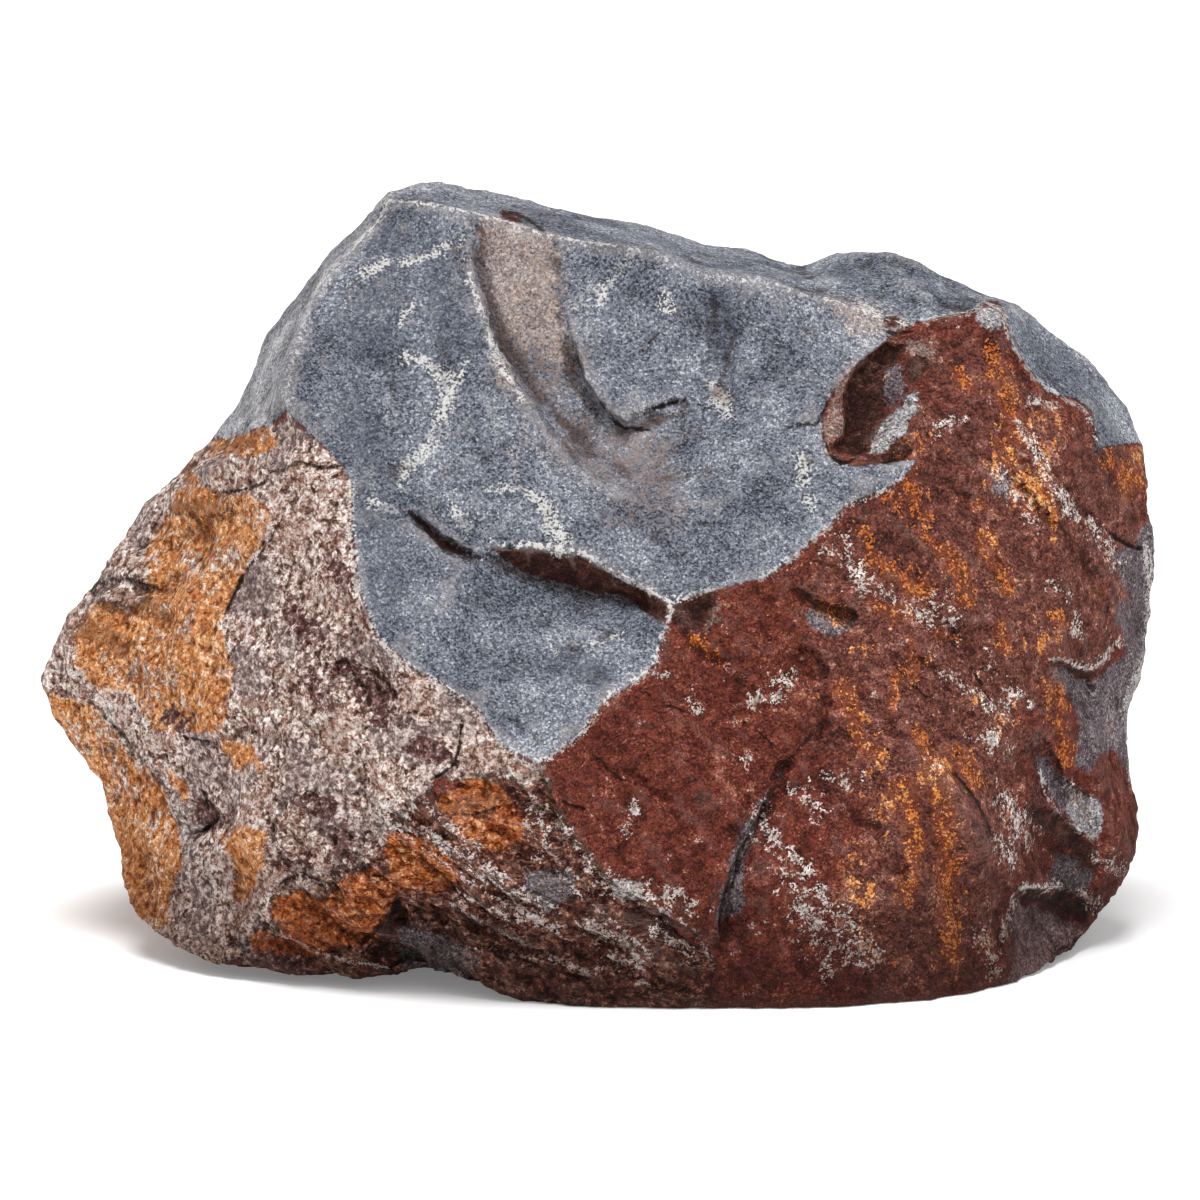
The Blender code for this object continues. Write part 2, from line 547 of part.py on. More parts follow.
def make_rock():
    points, faces = sewn_shells()
    rock = new_object("rock", points * METRE, faces)
    apply_modifier(rock, "REMESH", mode="VOXEL", voxel_size=SKIN_MM * METRE)
    roughen(rock)
    triangles = sum(len(face.vertices) - 2 for face in rock.data.polygons)
    apply_modifier(rock, "DECIMATE", ratio=MOST_TRIANGLES / triangles)
    cut_foot(rock)
    centre_over_foot(rock)
    rock.data.materials.clear()
    rock.data.materials.append(stone_material())
    rock.data.shade_smooth()
    rock.data.set_sharp_from_angle(angle=math.radians(24))
    return rock


for old in list(bpy.data.objects):
    bpy.data.objects.remove(old)
make_rock()
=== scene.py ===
# %% [markdown]
# # A rough quarry stone
#
# The object is one broken stone, about 0.56 m long, that rests on its flat underside. Its front is a
# fresh blue-grey fracture face that leans back, with a shell-shaped scar and a ledge in it. Around that
# face the stone is weathered: orange on the left, pale and speckled beside it, red-brown on the right
# and nearly black-brown low in the middle.
#
# A stone like this could be sculpted by hand or cut out of a block with planes. Here it is drawn: lines
# for its arrises and ledges on a drawing sheet, and a membrane stretched between them. That way each
# arris lies exactly where it was seen, and the same drawing gives the plain solid and this fine one.

# %% Load the fixed frame
import math
import time

import bmesh
import bpy
import numpy as np
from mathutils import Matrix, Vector


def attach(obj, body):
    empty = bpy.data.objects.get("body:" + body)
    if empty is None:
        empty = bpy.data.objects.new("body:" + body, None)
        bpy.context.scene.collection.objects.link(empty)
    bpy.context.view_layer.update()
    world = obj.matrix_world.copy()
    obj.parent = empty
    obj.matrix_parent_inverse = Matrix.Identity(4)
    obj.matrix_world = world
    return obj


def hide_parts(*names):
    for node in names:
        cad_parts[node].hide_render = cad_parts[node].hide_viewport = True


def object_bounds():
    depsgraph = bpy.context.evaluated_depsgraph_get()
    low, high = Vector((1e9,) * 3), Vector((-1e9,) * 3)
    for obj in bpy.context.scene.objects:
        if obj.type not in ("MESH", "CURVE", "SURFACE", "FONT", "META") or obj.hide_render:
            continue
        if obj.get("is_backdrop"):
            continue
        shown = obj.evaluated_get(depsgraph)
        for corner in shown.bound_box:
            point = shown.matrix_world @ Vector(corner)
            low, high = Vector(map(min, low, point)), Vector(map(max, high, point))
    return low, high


started = time.time()
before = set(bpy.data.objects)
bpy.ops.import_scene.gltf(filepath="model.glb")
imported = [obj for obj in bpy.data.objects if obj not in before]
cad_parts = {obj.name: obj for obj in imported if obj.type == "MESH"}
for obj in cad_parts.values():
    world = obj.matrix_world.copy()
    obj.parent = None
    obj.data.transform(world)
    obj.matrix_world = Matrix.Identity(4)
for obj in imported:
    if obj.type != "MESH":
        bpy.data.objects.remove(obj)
cad_low, cad_high = (np.array(corner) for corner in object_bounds())
print("solid stone, mm:", ((cad_high - cad_low) * 1000).round(1))

# %% [markdown]
# ## The drawing sheet
#
# The sheet leans back by 12 degrees, because the stone is seen from a little above. Columns run to the
# right and rows run down. A point on a line also has a depth, in millimetres behind the stone's middle.
# One square of the sheet is half a millimetre, so a column and a row turn straight into millimetres
# across and up. `height_of` finds how high a point is once its depth is known.

# %% Sizes and the sheet
MM = 0.001
STONE_LENGTH = 557
LEFT_COLUMN, RIGHT_COLUMN = 44, 1158
SQUARE_MM = STONE_LENGTH / (RIGHT_COLUMN - LEFT_COLUMN)
MIDDLE_COLUMN, FOOT_ROW = 600, 1008
SHEET_LEAN = math.radians(12)
FOOT_DEPTH = -165
SUNK_FOOT = -6
GRID_MM = 1.0
SKIN_MM = 1.6
MOST_TRIANGLES = 194_000


def on_sheet(line):
    """Sheet points (column, row, ...) as millimetres across and up, with what follows them kept."""
    return [((c - MIDDLE_COLUMN) * SQUARE_MM, (FOOT_ROW - r) * SQUARE_MM, *rest) for c, r, *rest in line]


def up_of(depth, height):
    return height * math.cos(SHEET_LEAN) + (depth - FOOT_DEPTH) * math.sin(SHEET_LEAN)


def height_of(up, depth):
    return (up - (depth - FOOT_DEPTH) * math.sin(SHEET_LEAN)) / math.cos(SHEET_LEAN)


def from_space(line):
    return [(x, up_of(y, z), y) for x, y, z in line]


print("one square is", SQUARE_MM, "mm")

# %% [markdown]
# ## The arrises
#
# An arris is the edge where two broken faces meet. These lines are the skeleton of the front: the
# outline as it is seen, the ridge along the top, the edges on the left and right of the fracture face,
# and a few soft shoulders in the weathered faces. Between them the membrane makes the faces.

# %% Lines of the front: (column, row, depth)
# The outline, clockwise from the peak.
OUTLINE = [
    (388, 186, 15), (425, 188, 32), (470, 193, 55), (500, 198, 70), (550, 204, 84), (600, 212, 94),
    (650, 222, 100), (700, 237, 104), (750, 248, 105), (775, 255, 103), (800, 261, 97), (825, 254, 75),
    (850, 249, 62), (890, 245, 55), (915, 255, 55), (950, 273, 60), (985, 290, 62), (1025, 308, 66),
    (1050, 327, 66), (1090, 357, 66), (1110, 380, 64), (1133, 403, 60), (1142, 450, 52), (1140, 490, 46),
    (1148, 525, 42), (1157, 580, 40), (1158, 610, 40), (1155, 650, 38), (1147, 690, 34), (1136, 712, 36),
    (1133, 760, 40), (1140, 800, 34), (1143, 835, 28), (1138, 858, 18), (1125, 885, 5), (1108, 907, -8),
    (1091, 926, -20), (1088, 940, -30), (1079, 955, -42), (1060, 965, -64), (1040, 971, -80),
    (1000, 986, -108), (960, 1002, -134), (930, 1018, -150), (850, 1022, -158), (740, 1022, -160),
    (625, 1022, -158), (575, 1018, -154), (540, 1008, -150), (510, 995, -148), (475, 986, -142),
    (430, 978, -132), (410, 971, -128), (385, 976, -125), (350, 979, -120), (300, 973, -112),
    (262, 965, -102), (225, 960, -92), (185, 950, -76), (155, 935, -60), (135, 915, -45), (125, 890, -32),
    (122, 855, -18), (118, 820, -8), (110, 790, 0), (92, 762, 8), (70, 735, 12), (55, 715, 15),
    (44, 685, 18), (48, 660, 20), (62, 630, 22), (80, 597, 24), (125, 540, 28), (175, 478, 30),
    (205, 440, 30), (228, 405, 30), (255, 350, 30), (290, 300, 28), (325, 250, 22), (350, 225, 18),
    (372, 200, 15),
]
RIDGE = [
    (390, 200, 5), (430, 204, -3), (470, 212, -9), (510, 222, -14), (540, 234, -18), (575, 240, -19),
    (610, 245, -20), (640, 250, -20), (665, 259, -21), (690, 272, -22), (725, 277, -20), (775, 285, -17),
    (800, 293, -15), (845, 304, -12), (870, 313, -10), (905, 325, -10),
]
LEFT_ARRIS = [
    (390, 200, 5), (375, 225, -4), (345, 255, -15), (325, 275, -24), (312, 300, -33), (303, 325, -42),
    (297, 350, -51), (290, 375, -60), (287, 400, -68), (305, 430, -77), (340, 465, -91), (350, 475, -95),
    (352, 525, -108), (358, 560, -119), (365, 610, -134), (375, 640, -143), (400, 655, -150),
    (445, 690, -161), (470, 700, -165), (485, 715, -170), (505, 745, -177), (538, 765, -182),
]
RIGHT_ARRIS = [
    (538, 765, -182), (560, 745, -176), (580, 725, -170), (600, 700, -163), (655, 670, -150),
    (665, 645, -143), (666, 622, -138), (668, 605, -134), (700, 594, -130), (740, 583, -125),
    (785, 562, -116), (810, 540, -110), (835, 510, -98), (860, 492, -90), (895, 475, -77),
    (912, 455, -68), (922, 420, -56), (915, 385, -40), (912, 350, -24), (905, 325, -10),
]
TOP_RIGHT_EDGE = [
    (905, 325, -10), (945, 316, -8), (970, 313, -6), (985, 301, -4), (1003, 311, -5), (1012, 345, -8),
    (1032, 375, -3), (1060, 397, 4), (1085, 409, 10), (1097, 440, 12),
]
# The valley that runs back over the top from the notch in the outline, and the knoll beside it.
TOP_VALLEY = [(800, 263, 92), (808, 275, 50), (820, 289, 10), (832, 299, -12)]
KNOLL = [(850, 256, 52), (880, 262, 38), (905, 280, 22), (930, 296, 8)]
PROW = [
    (538, 765, -182), (550, 800, -181), (566, 830, -179), (585, 865, -176), (604, 890, -171),
    (640, 960, -168),
]
FOOT_EDGE = [
    (560, 1001, -158), (625, 1001, -164), (700, 1003, -165), (780, 1005, -166), (850, 1003, -162),
    (925, 996, -147), (985, 984, -117),
]
LOWER_FRONT = [(604, 890, -171), (700, 900, -167), (800, 905, -163), (900, 900, -152), (985, 890, -112)]
LOW_RIGHT_BULGE = [(905, 740, -138), (950, 790, -136), (985, 850, -128)]
FAR_RIGHT_RIB = [(1060, 505, -36), (1068, 580, -44), (1062, 640, -56), (1050, 690, -68), (1040, 740, -76)]
UPPER_RIGHT = [(838, 545, -106), (880, 590, -112), (930, 612, -106), (985, 620, -88)]
RIGHT_EDGE = [
    (1097, 440, 12), (1104, 500, 6), (1113, 560, -6), (1112, 620, -12), (1092, 668, -26),
    (1104, 720, -20), (1098, 765, -28), (1100, 800, -28), (1116, 850, -22), (1102, 895, -26),
]
SHOULDER = [(985, 303, -4), (1000, 345, -12), (1008, 400, -24), (1035, 445, -32), (1060, 505, -36)]
LEFT_SHOULDER = [
    (258, 425, -50), (240, 455, -50), (205, 475, -30), (186, 500, -20), (172, 545, -14), (140, 575, -8),
    (102, 596, 0), (80, 630, 3), (76, 665, 2), (90, 700, -4),
]
LEFT_EDGE = [
    (90, 700, -4), (125, 740, -24), (160, 770, -44), (198, 806, -62), (200, 845, -66), (222, 885, -80),
]
LEFT_CREASE = [
    (300, 462, -84), (268, 500, -72), (250, 548, -68), (230, 590, -64), (228, 640, -76), (222, 705, -88),
]
LEFT_FACE = [(340, 690, -136), (300, 760, -128), (262, 820, -114), (255, 880, -106)]
FRONT_LOWER_LEFT = [(455, 765, -166), (400, 800, -160), (330, 850, -142), (300, 885, -132)]
LOW_LUMPS = [(500, 820, -172), (455, 850, -164), (400, 882, -152), (340, 905, -136), (280, 925, -116)]
LOW_BAND = [(575, 905, -166), (500, 905, -164), (450, 925, -154), (505, 965, -158), (560, 975, -162)]
FRONT_LINES = [
    RIDGE, LEFT_ARRIS, RIGHT_ARRIS, TOP_RIGHT_EDGE, TOP_VALLEY, KNOLL, PROW, FOOT_EDGE, LOWER_FRONT,
    LOW_RIGHT_BULGE, FAR_RIGHT_RIB, UPPER_RIGHT, RIGHT_EDGE, SHOULDER, LEFT_SHOULDER, LEFT_EDGE,
    LEFT_CREASE, LEFT_FACE, FRONT_LOWER_LEFT, LOW_LUMPS, LOW_BAND,
]
print(len(FRONT_LINES), "lines and an outline of", len(OUTLINE), "points")

# %% [markdown]
# ## Scars, ledges and hollows
#
# When a stone breaks, shell-shaped flakes jump off it and leave hollows with one steep lip. Each hollow
# is drawn as a closed edge, where nothing is added, and lines inside it with the depth added there.
# They are kept apart from the arrises, so that a hollow can be made deeper without moving an edge.

# %% Reliefs: (column, row, depth added)
# Each hollow is an edge where nothing is added and lines inside it. The ledge is the recessed facet
# under the long lip, and the scoop is the shell-shaped scar with the tongue that stands in it.
LEDGE_EDGE = [
    (472, 556), (490, 547), (510, 551), (535, 548), (560, 551), (580, 554), (600, 564), (615, 574),
    (635, 584), (655, 596), (668, 605), (666, 645), (655, 670), (600, 700), (560, 745), (538, 765),
    (505, 745), (470, 700), (440, 640), (445, 590),
]
LEDGE_FLOOR = [
    (486, 556, 4), (500, 560, 9), (512, 567, 14), (525, 574, 17), (550, 581, 20), (580, 589, 21),
    (605, 594, 21), (630, 598, 19), (645, 604, 13), (656, 612, 5),
]
SCOOP_EDGE = [
    (470, 214), (470, 250), (475, 280), (485, 320), (500, 360), (515, 382), (530, 402), (545, 425),
    (560, 450), (580, 470), (600, 481), (625, 495), (655, 506), (700, 500), (735, 488), (765, 470),
    (800, 440), (812, 400), (800, 350), (770, 300), (720, 280), (660, 262), (600, 247), (540, 237),
    (500, 223),
]
SCOOP_FLOOR = [
    (477, 226, 3), (483, 262, 5), (492, 305, 7), (508, 350, 9), (532, 388, 11), (560, 420, 12),
    (588, 448, 12), (625, 470, 10), (668, 480, 7), (712, 468, 4),
]
TONGUE = [
    (556, 262, 4), (568, 300, 4), (576, 340, 3), (584, 374, 1), (596, 395, 0), (610, 412, 0),
    (628, 420, 1), (652, 410, 3), (684, 397, 6),
]
UNDER_TONGUE = [
    (556, 310, 6), (564, 350, 8), (576, 384, 10), (592, 408, 11), (606, 424, 11), (626, 434, 11),
    (652, 424, 9), (686, 406, 8),
]
SCOOP_VALLEY = [(712, 300, 7), (718, 340, 9), (722, 385, 8), (735, 430, 6)]
END_HOLLOW_EDGE = [
    (910, 338), (886, 342), (858, 364), (848, 384), (846, 417), (830, 442), (840, 462),
    (856, 458), (876, 461), (890, 464), (904, 452), (908, 420), (912, 385), (918, 355),
]
END_HOLLOW_FLOOR = [
    (898, 352, 5), (878, 368, 8), (864, 388, 9), (860, 412, 9), (856, 432, 8), (858, 450, 5),
]
CAVITY_EDGE = [
    (392, 882), (415, 888), (440, 895), (462, 905), (478, 922), (470, 950), (440, 968), (428, 976),
    (400, 970), (380, 968), (345, 955), (365, 935), (388, 922), (394, 905),
]
CAVITY_FLOOR = [
    (400, 898, 12), (401, 918, 14), (420, 906, 13), (444, 918, 9), (420, 938, 6), (404, 958, 15),
    (370, 950, 8),
]
RECESS_EDGE = [
    (1008, 903), (1030, 893), (1055, 893), (1078, 898), (1096, 912), (1088, 940), (1070, 956),
    (1040, 968), (1008, 965), (1000, 935),
]
RECESS_FLOOR = [
    (1020, 900, 9), (1040, 902, 11), (1058, 908, 11), (1070, 915, 9), (1080, 920, 6),
]
NOTCH_EDGE = [(1050, 654), (1068, 658), (1090, 664), (1098, 690), (1095, 740), (1072, 745), (1058, 700)]
NOTCH_FLOOR = [(1060, 666, 6), (1078, 673, 11), (1090, 685, 8), (1080, 715, 5)]
CHIP_EDGE = [
    (1014, 806), (1038, 808), (1057, 811), (1072, 826), (1084, 838), (1097, 850), (1104, 864),
    (1114, 876), (1098, 903), (1079, 897), (1058, 891), (1030, 889), (1014, 868), (1008, 838),
]
CHIP_FLOOR = [(1030, 826, 5), (1046, 836, 8), (1060, 845, 9), (1076, 855, 9), (1090, 868, 7), (1100, 874, 4)]
GULLY_EDGE = [
    (816, 738), (808, 764), (794, 784), (788, 808), (776, 828), (778, 848), (762, 870), (764, 905),
    (746, 942), (716, 960), (690, 935), (676, 880), (690, 830), (705, 790), (740, 748), (780, 730),
]
GULLY_FLOOR = [
    (784, 764, 4), (762, 790, 6), (758, 812, 6), (744, 834, 7), (742, 856, 7), (728, 884, 7),
    (722, 930, 4),
]
BROW_EDGE = [
    (792, 592), (812, 596), (835, 600), (862, 612), (868, 632), (845, 648), (815, 646), (790, 632),
]
BROW_FLOOR = [(812, 605, 2), (832, 614, 3), (848, 621, 2)]
LEFT_PIT_EDGE = [
    (168, 514), (200, 520), (226, 512), (236, 560), (205, 590), (160, 600), (120, 606), (135, 575),
]
LEFT_PIT_FLOOR = [(178, 532, 5), (200, 541, 7), (221, 534, 5), (190, 566, 5), (150, 590, 4)]
FACE_PIT_EDGE = [(330, 655), (372, 660), (402, 690), (385, 722), (340, 712), (318, 682)]
FACE_PIT_FLOOR = [(345, 675, 5), (372, 690, 6)]
FOOT_LEFT_EDGE = [
    (190, 792), (206, 792), (224, 815), (216, 836), (198, 846), (188, 842), (190, 822),
]
FOOT_LEFT_FLOOR = [(196, 800, 2), (206, 814, 4), (212, 824, 4), (200, 836, 3)]
LOW_STEP_EDGE = [
    (392, 828), (412, 838), (432, 851), (455, 868), (480, 889), (508, 904), (545, 926), (590, 930),
    (640, 925), (668, 950), (640, 985), (560, 985), (500, 965), (470, 935), (440, 900), (405, 880),
]
LOW_STEP_FLOOR = [
    (410, 848, 4), (438, 866, 6), (466, 889, 7), (500, 914, 8), (545, 937, 7), (600, 945, 5),
]
STEP_SCAR_EDGE = [
    (790, 640), (812, 650), (823, 672), (828, 700), (824, 735), (800, 742), (770, 742), (735, 760),
    (700, 742), (690, 700), (705, 655), (745, 636),
]
STEP_SCAR_FLOOR = [(800, 662, 1), (812, 680, 1.5), (816, 700, 1.5), (812, 720, 1)]
UPPER_CHIP_EDGE = [(690, 596), (715, 600), (728, 625), (712, 645), (680, 640), (668, 622)]
UPPER_CHIP_FLOOR = [(692, 606, 2), (708, 612, 3), (690, 625, 1)]
# Two ribs stand out along the grain on the right of the front.
RIB_EDGE = [
    (900, 560), (960, 520), (1035, 560), (1058, 650), (1046, 735), (1016, 778), (950, 765), (900, 690),
]
UPPER_RIB = [(940, 562, -2), (985, 603, -4), (1018, 650, -4), (1032, 705, -3)]
LOWER_RIB = [(920, 632, -2), (950, 678, -3), (985, 722, -4), (1010, 760, -2)]
BETWEEN_RIBS = [(930, 600, 2), (968, 645, 2), (1000, 692, 3), (1020, 735, 2)]
RELIEFS = [
    (LEDGE_EDGE, [LEDGE_FLOOR]),
    (SCOOP_EDGE, [SCOOP_FLOOR, TONGUE, UNDER_TONGUE, SCOOP_VALLEY]),
    (END_HOLLOW_EDGE, [END_HOLLOW_FLOOR]),
    (CAVITY_EDGE, [CAVITY_FLOOR]),
    (RECESS_EDGE, [RECESS_FLOOR]),
    (NOTCH_EDGE, [NOTCH_FLOOR]),
    (CHIP_EDGE, [CHIP_FLOOR]),
    (GULLY_EDGE, [GULLY_FLOOR]),
    (BROW_EDGE, [BROW_FLOOR]),
    (LEFT_PIT_EDGE, [LEFT_PIT_FLOOR]),
    (FACE_PIT_EDGE, [FACE_PIT_FLOOR]),
    (FOOT_LEFT_EDGE, [FOOT_LEFT_FLOOR]),
    (LOW_STEP_EDGE, [LOW_STEP_FLOOR]),
    (STEP_SCAR_EDGE, [STEP_SCAR_FLOOR]),
    (UPPER_CHIP_EDGE, [UPPER_CHIP_FLOOR]),
    (RIB_EDGE, [UPPER_RIB, BETWEEN_RIBS, LOWER_RIB]),
]
print(len(RELIEFS), "reliefs")

# %% [markdown]
# ## Cracks and small ledges
#
# A crack is too narrow for a membrane, so it is a groove: deepest on its line and gone at its width. A
# ledge is a one-sided step. Walking along its line, the stone to the right lies deeper, and the step
# fades over a distance, because a flake thins out away from the edge where it broke. Both taper off
# towards their ends.

# %% Cracks: (line, half width, depth), and ledges: (line, height, fade), in millimetres
CRACKS = [
    ([(409, 512), (424, 526), (440, 540), (452, 548), (464, 554), (480, 558)], 3.0, 8),
    ([(500, 216), (511, 211), (524, 217), (545, 231)], 2.2, 5),
    ([(608, 417), (625, 428), (650, 430)], 1.8, 5),
    ([(629, 416), (650, 409), (668, 404), (692, 396)], 1.6, 6),
    ([(883, 331), (898, 334), (912, 331)], 1.6, 5),
    ([(1106, 530), (1118, 540), (1130, 546), (1142, 549)], 2.2, 7),
    ([(432, 779), (444, 773), (456, 762), (461, 740), (463, 718)], 1.7, 5),
    ([(281, 520), (266, 548), (252, 563), (244, 574), (236, 592), (225, 616)], 1.9, 5),
    ([(212, 492), (246, 490), (268, 481)], 1.8, 4),
    ([(268, 472), (284, 470), (298, 462), (322, 468), (342, 466)], 1.6, 4),
    ([(784, 428), (804, 424), (817, 425), (823, 412), (828, 400)], 1.5, 4),
    ([(826, 443), (832, 456), (840, 464), (858, 459)], 1.5, 4),
    ([(442, 812), (462, 814), (484, 812), (500, 806)], 2.0, 4),
    ([(659, 333), (650, 343), (640, 352)], 1.2, 2),
    ([(182, 738), (198, 740), (216, 744)], 1.6, 4),
    ([(193, 842), (202, 833), (212, 826), (220, 816), (208, 802), (203, 790)], 2.2, 5),
    ([(214, 852), (218, 844), (222, 836)], 1.5, 3),
    ([(277, 887), (288, 878), (305, 875), (316, 878), (325, 889)], 1.8, 5),
    ([(362, 872), (374, 874), (388, 882), (396, 886)], 1.8, 5),
    ([(397, 893), (392, 910), (380, 926), (362, 944)], 3.0, 6),
    ([(560, 800), (572, 806), (585, 809)], 1.4, 3),
    ([(795, 646), (813, 652), (824, 668), (828, 694), (826, 716), (819, 743)], 1.5, 3),
    ([(811, 734), (783, 768), (767, 798), (751, 831), (736, 857), (724, 893)], 1.8, 4),
    ([(744, 722), (764, 736), (776, 752)], 1.4, 3),
    ([(1036, 730), (1048, 745), (1062, 772), (1070, 786)], 1.8, 5),
    ([(592, 752), (616, 776), (640, 786)], 1.2, 2),
    ([(640, 690), (668, 706), (700, 716)], 1.2, 2),
    ([(940, 630), (968, 662), (990, 700)], 1.3, 3),
    ([(888, 646), (902, 676), (930, 700)], 1.2, 2),
    ([(952, 770), (976, 800), (992, 836)], 1.3, 3),
    ([(352, 672), (366, 690), (370, 712)], 1.5, 3),
    ([(240, 640), (232, 652), (224, 668)], 1.5, 3),
]
LEDGES = [
    # under the brow on the right, the edge of the scar below it, and the gully's left wall
    ([(792, 584), (799, 588), (813, 598), (832, 607), (858, 617)], 5, 6),
    ([(788, 642), (802, 648), (818, 660), (826, 680), (828, 700), (826, 716), (818, 742)], 2.2, 7),
    ([(712, 960), (716, 935), (724, 893), (738, 857), (751, 831), (770, 798), (790, 764)], 7, 12),
    # the lower left edge of the red block
    ([(536, 764), (556, 806), (576, 843), (610, 882), (662, 914), (718, 948)], 5.5, 12),
    # the scoop's left lip, and the lower edge of its tongue
    (
        [
            (612, 486), (580, 466), (556, 440), (530, 402), (513, 378), (499, 350), (488, 315),
            (477, 285), (469, 250), (474, 220),
        ],
        3, 12,
    ),
    (
        [(563, 306), (574, 345), (584, 377), (597, 397), (610, 414), (628, 422), (652, 411), (690, 397)],
        4, 6,
    ),
    # the rim and the lower lip of the hollow at the right end
    (
        [(840, 462), (830, 444), (845, 436), (847, 402), (849, 384), (858, 364), (886, 343), (908, 346)],
        6, 9,
    ),
    ([(914, 447), (905, 457), (889, 464), (876, 461), (856, 459), (840, 464)], 5, 7),
    ([(920, 388), (905, 396), (902, 406), (886, 417), (874, 434), (868, 456)], -4, 5),
    # ledges that run down to the right at the far right
    ([(1046, 664), (1060, 662), (1076, 671), (1092, 673), (1108, 664)], 6, 6),
    ([(1036, 738), (1048, 752), (1060, 768), (1068, 784), (1083, 792), (1102, 802)], 6, 10),
    ([(1014, 806), (1038, 809), (1056, 812), (1070, 826), (1084, 838), (1098, 852)], 4, 10),
    ([(1014, 897), (1030, 890), (1058, 892), (1079, 898), (1094, 910)], 8, 12),
    ([(1010, 468), (1040, 505), (1074, 541), (1102, 578)], 3.5, 14),
    ([(1000, 900), (1004, 930), (996, 962)], 3, 8),
    ([(946, 470), (975, 505), (1000, 545), (1015, 590)], 2.5, 10),
    ([(900, 640), (935, 664), (968, 700), (990, 742)], 2.5, 10),
    ([(930, 735), (960, 752), (992, 786), (1010, 820)], 2.5, 9),
    ([(690, 640), (720, 655), (752, 682), (770, 712)], 2.5, 9),
    ([(600, 755), (640, 775), (676, 806), (700, 838)], 2.5, 9),
    ([(850, 800), (880, 826), (905, 862), (920, 905)], 2.5, 9),
    # the stained left end
    ([(84, 592), (108, 580), (134, 579), (162, 590)], 6, 9),
    ([(172, 511), (200, 518), (222, 515), (242, 500)], 6, 9),
    ([(276, 888), (304, 877), (330, 883), (350, 894)], 4.5, 8),
    ([(178, 812), (194, 824), (214, 822), (232, 812)], 5, 8),
    ([(60, 690), (92, 702), (124, 736), (152, 772), (182, 812)], 4, 9),
    ([(226, 720), (262, 728), (300, 752), (330, 790)], 3, 10),
    ([(318, 664), (350, 660), (384, 676), (398, 700)], 3.5, 9),
    # the layers low in the middle
    ([(390, 808), (420, 834), (446, 851), (492, 877), (524, 903)], 5, 7),
    ([(452, 782), (478, 776), (504, 786), (522, 806)], 4, 8),
    ([(396, 838), (420, 856), (448, 880), (474, 898), (510, 912)], 4, 6),
    ([(440, 902), (480, 924), (530, 942), (570, 950)], 4, 7),
    ([(470, 935), (510, 954), (556, 972), (600, 980)], 4, 7),
    ([(340, 930), (362, 938), (384, 930), (400, 900)], 5, 7),
    # ripples in the facet under the long ledge, and in the fresh face
    ([(560, 645), (584, 636), (606, 629), (628, 624)], 2.2, 7),
    ([(548, 690), (570, 682), (600, 670), (622, 662)], 2.2, 8),
    ([(488, 712), (510, 716), (532, 728), (546, 744)], 2.0, 7),
    ([(370, 470), (400, 462), (440, 462), (470, 470)], 1.6, 14),
    ([(640, 530), (680, 522), (720, 520), (752, 526)], 1.6, 12),
    ([(700, 400), (722, 372), (728, 340), (722, 310)], 2.0, 16),
]
print(len(CRACKS), "cracks and", len(LEDGES), "ledges")

# %% [markdown]
# ## The back and the underside
#
# Nobody has seen the back, so it is finished as such a stone would be: two blunt corners, a bulging
# middle and a foot that draws in. These lines are given in the room's own x, y and z, in millimetres,
# with y to the back. The underside is drawn a little below the floor and later cut off flat.

# %% Lines of the back: (x, y, z)
BACK_TOP = [
    (-168, 66, 285), (-132, 92, 326), (-95, 112, 345), (-50, 130, 342), (0, 140, 333), (50, 147, 318),
    (100, 145, 305), (150, 137, 313), (200, 124, 290), (240, 108, 258), (263, 92, 212),
]
BACK_BELLY = [
    (-265, 78, 118), (-240, 122, 132), (-190, 158, 150), (-112, 184, 152), (-40, 198, 142),
    (50, 204, 135), (132, 194, 145), (205, 170, 155), (250, 134, 165), (269, 90, 165),
]
BACK_LEFT_ARRIS = [
    (-50, 130, 342), (-84, 160, 262), (-112, 184, 152), (-100, 172, 60), (-92, 144, SUNK_FOOT),
]
BACK_RIGHT_ARRIS = [
    (100, 145, 305), (112, 172, 235), (132, 194, 145), (150, 180, 62), (146, 152, SUNK_FOOT),
]
BACK_LEFT_CORNER = [(-168, 66, 285), (-212, 98, 215), (-240, 122, 132), (-236, 104, 70), (-196, 70, 22)]
BACK_RIGHT_CORNER = [(240, 108, 258), (252, 126, 200), (250, 134, 165), (244, 116, 80), (212, 86, 20)]
BACK_FOOT_CORNER = [
    (-236, 104, 70), (-180, 142, 62), (-100, 172, 60), (40, 192, 52), (150, 180, 62), (244, 116, 80),
]
BACK_LINES = [
    BACK_TOP, BACK_BELLY, BACK_LEFT_ARRIS, BACK_RIGHT_ARRIS, BACK_LEFT_CORNER, BACK_RIGHT_CORNER,
    BACK_FOOT_CORNER,
]
FOOT_LOOP = [
    (-30, -148), (60, -154), (150, -148), (190, -100), (208, -20), (200, 76), (146, 152), (60, 174),
    (-20, 170), (-92, 144), (-152, 86), (-166, 0), (-140, -74), (-85, -118), (-30, -148),
]
print(len(BACK_LINES), "lines of the back")

# %% [markdown]
# ## Stretching a membrane
#
# A soap film between wires is the smoothest surface that touches all of them, and each of its points
# lies midway between its neighbours. So the film is found by averaging each free point's neighbours
# again and again. Doing that on a coarse grid first, then on finer ones, saves nearly all the work.

# %% The grid
def walk(line, spacing):
    """Evenly spaced points along a line."""
    line = np.array(line, float)
    gone = np.linalg.norm(np.diff(line[:, :2], axis=0), axis=1)
    length = np.concatenate([[0], np.cumsum(gone)])
    at = np.linspace(0, length[-1], max(2, int(length[-1] / spacing) + 1))
    return np.stack([np.interp(at, length, column) for column in line.T], axis=1)


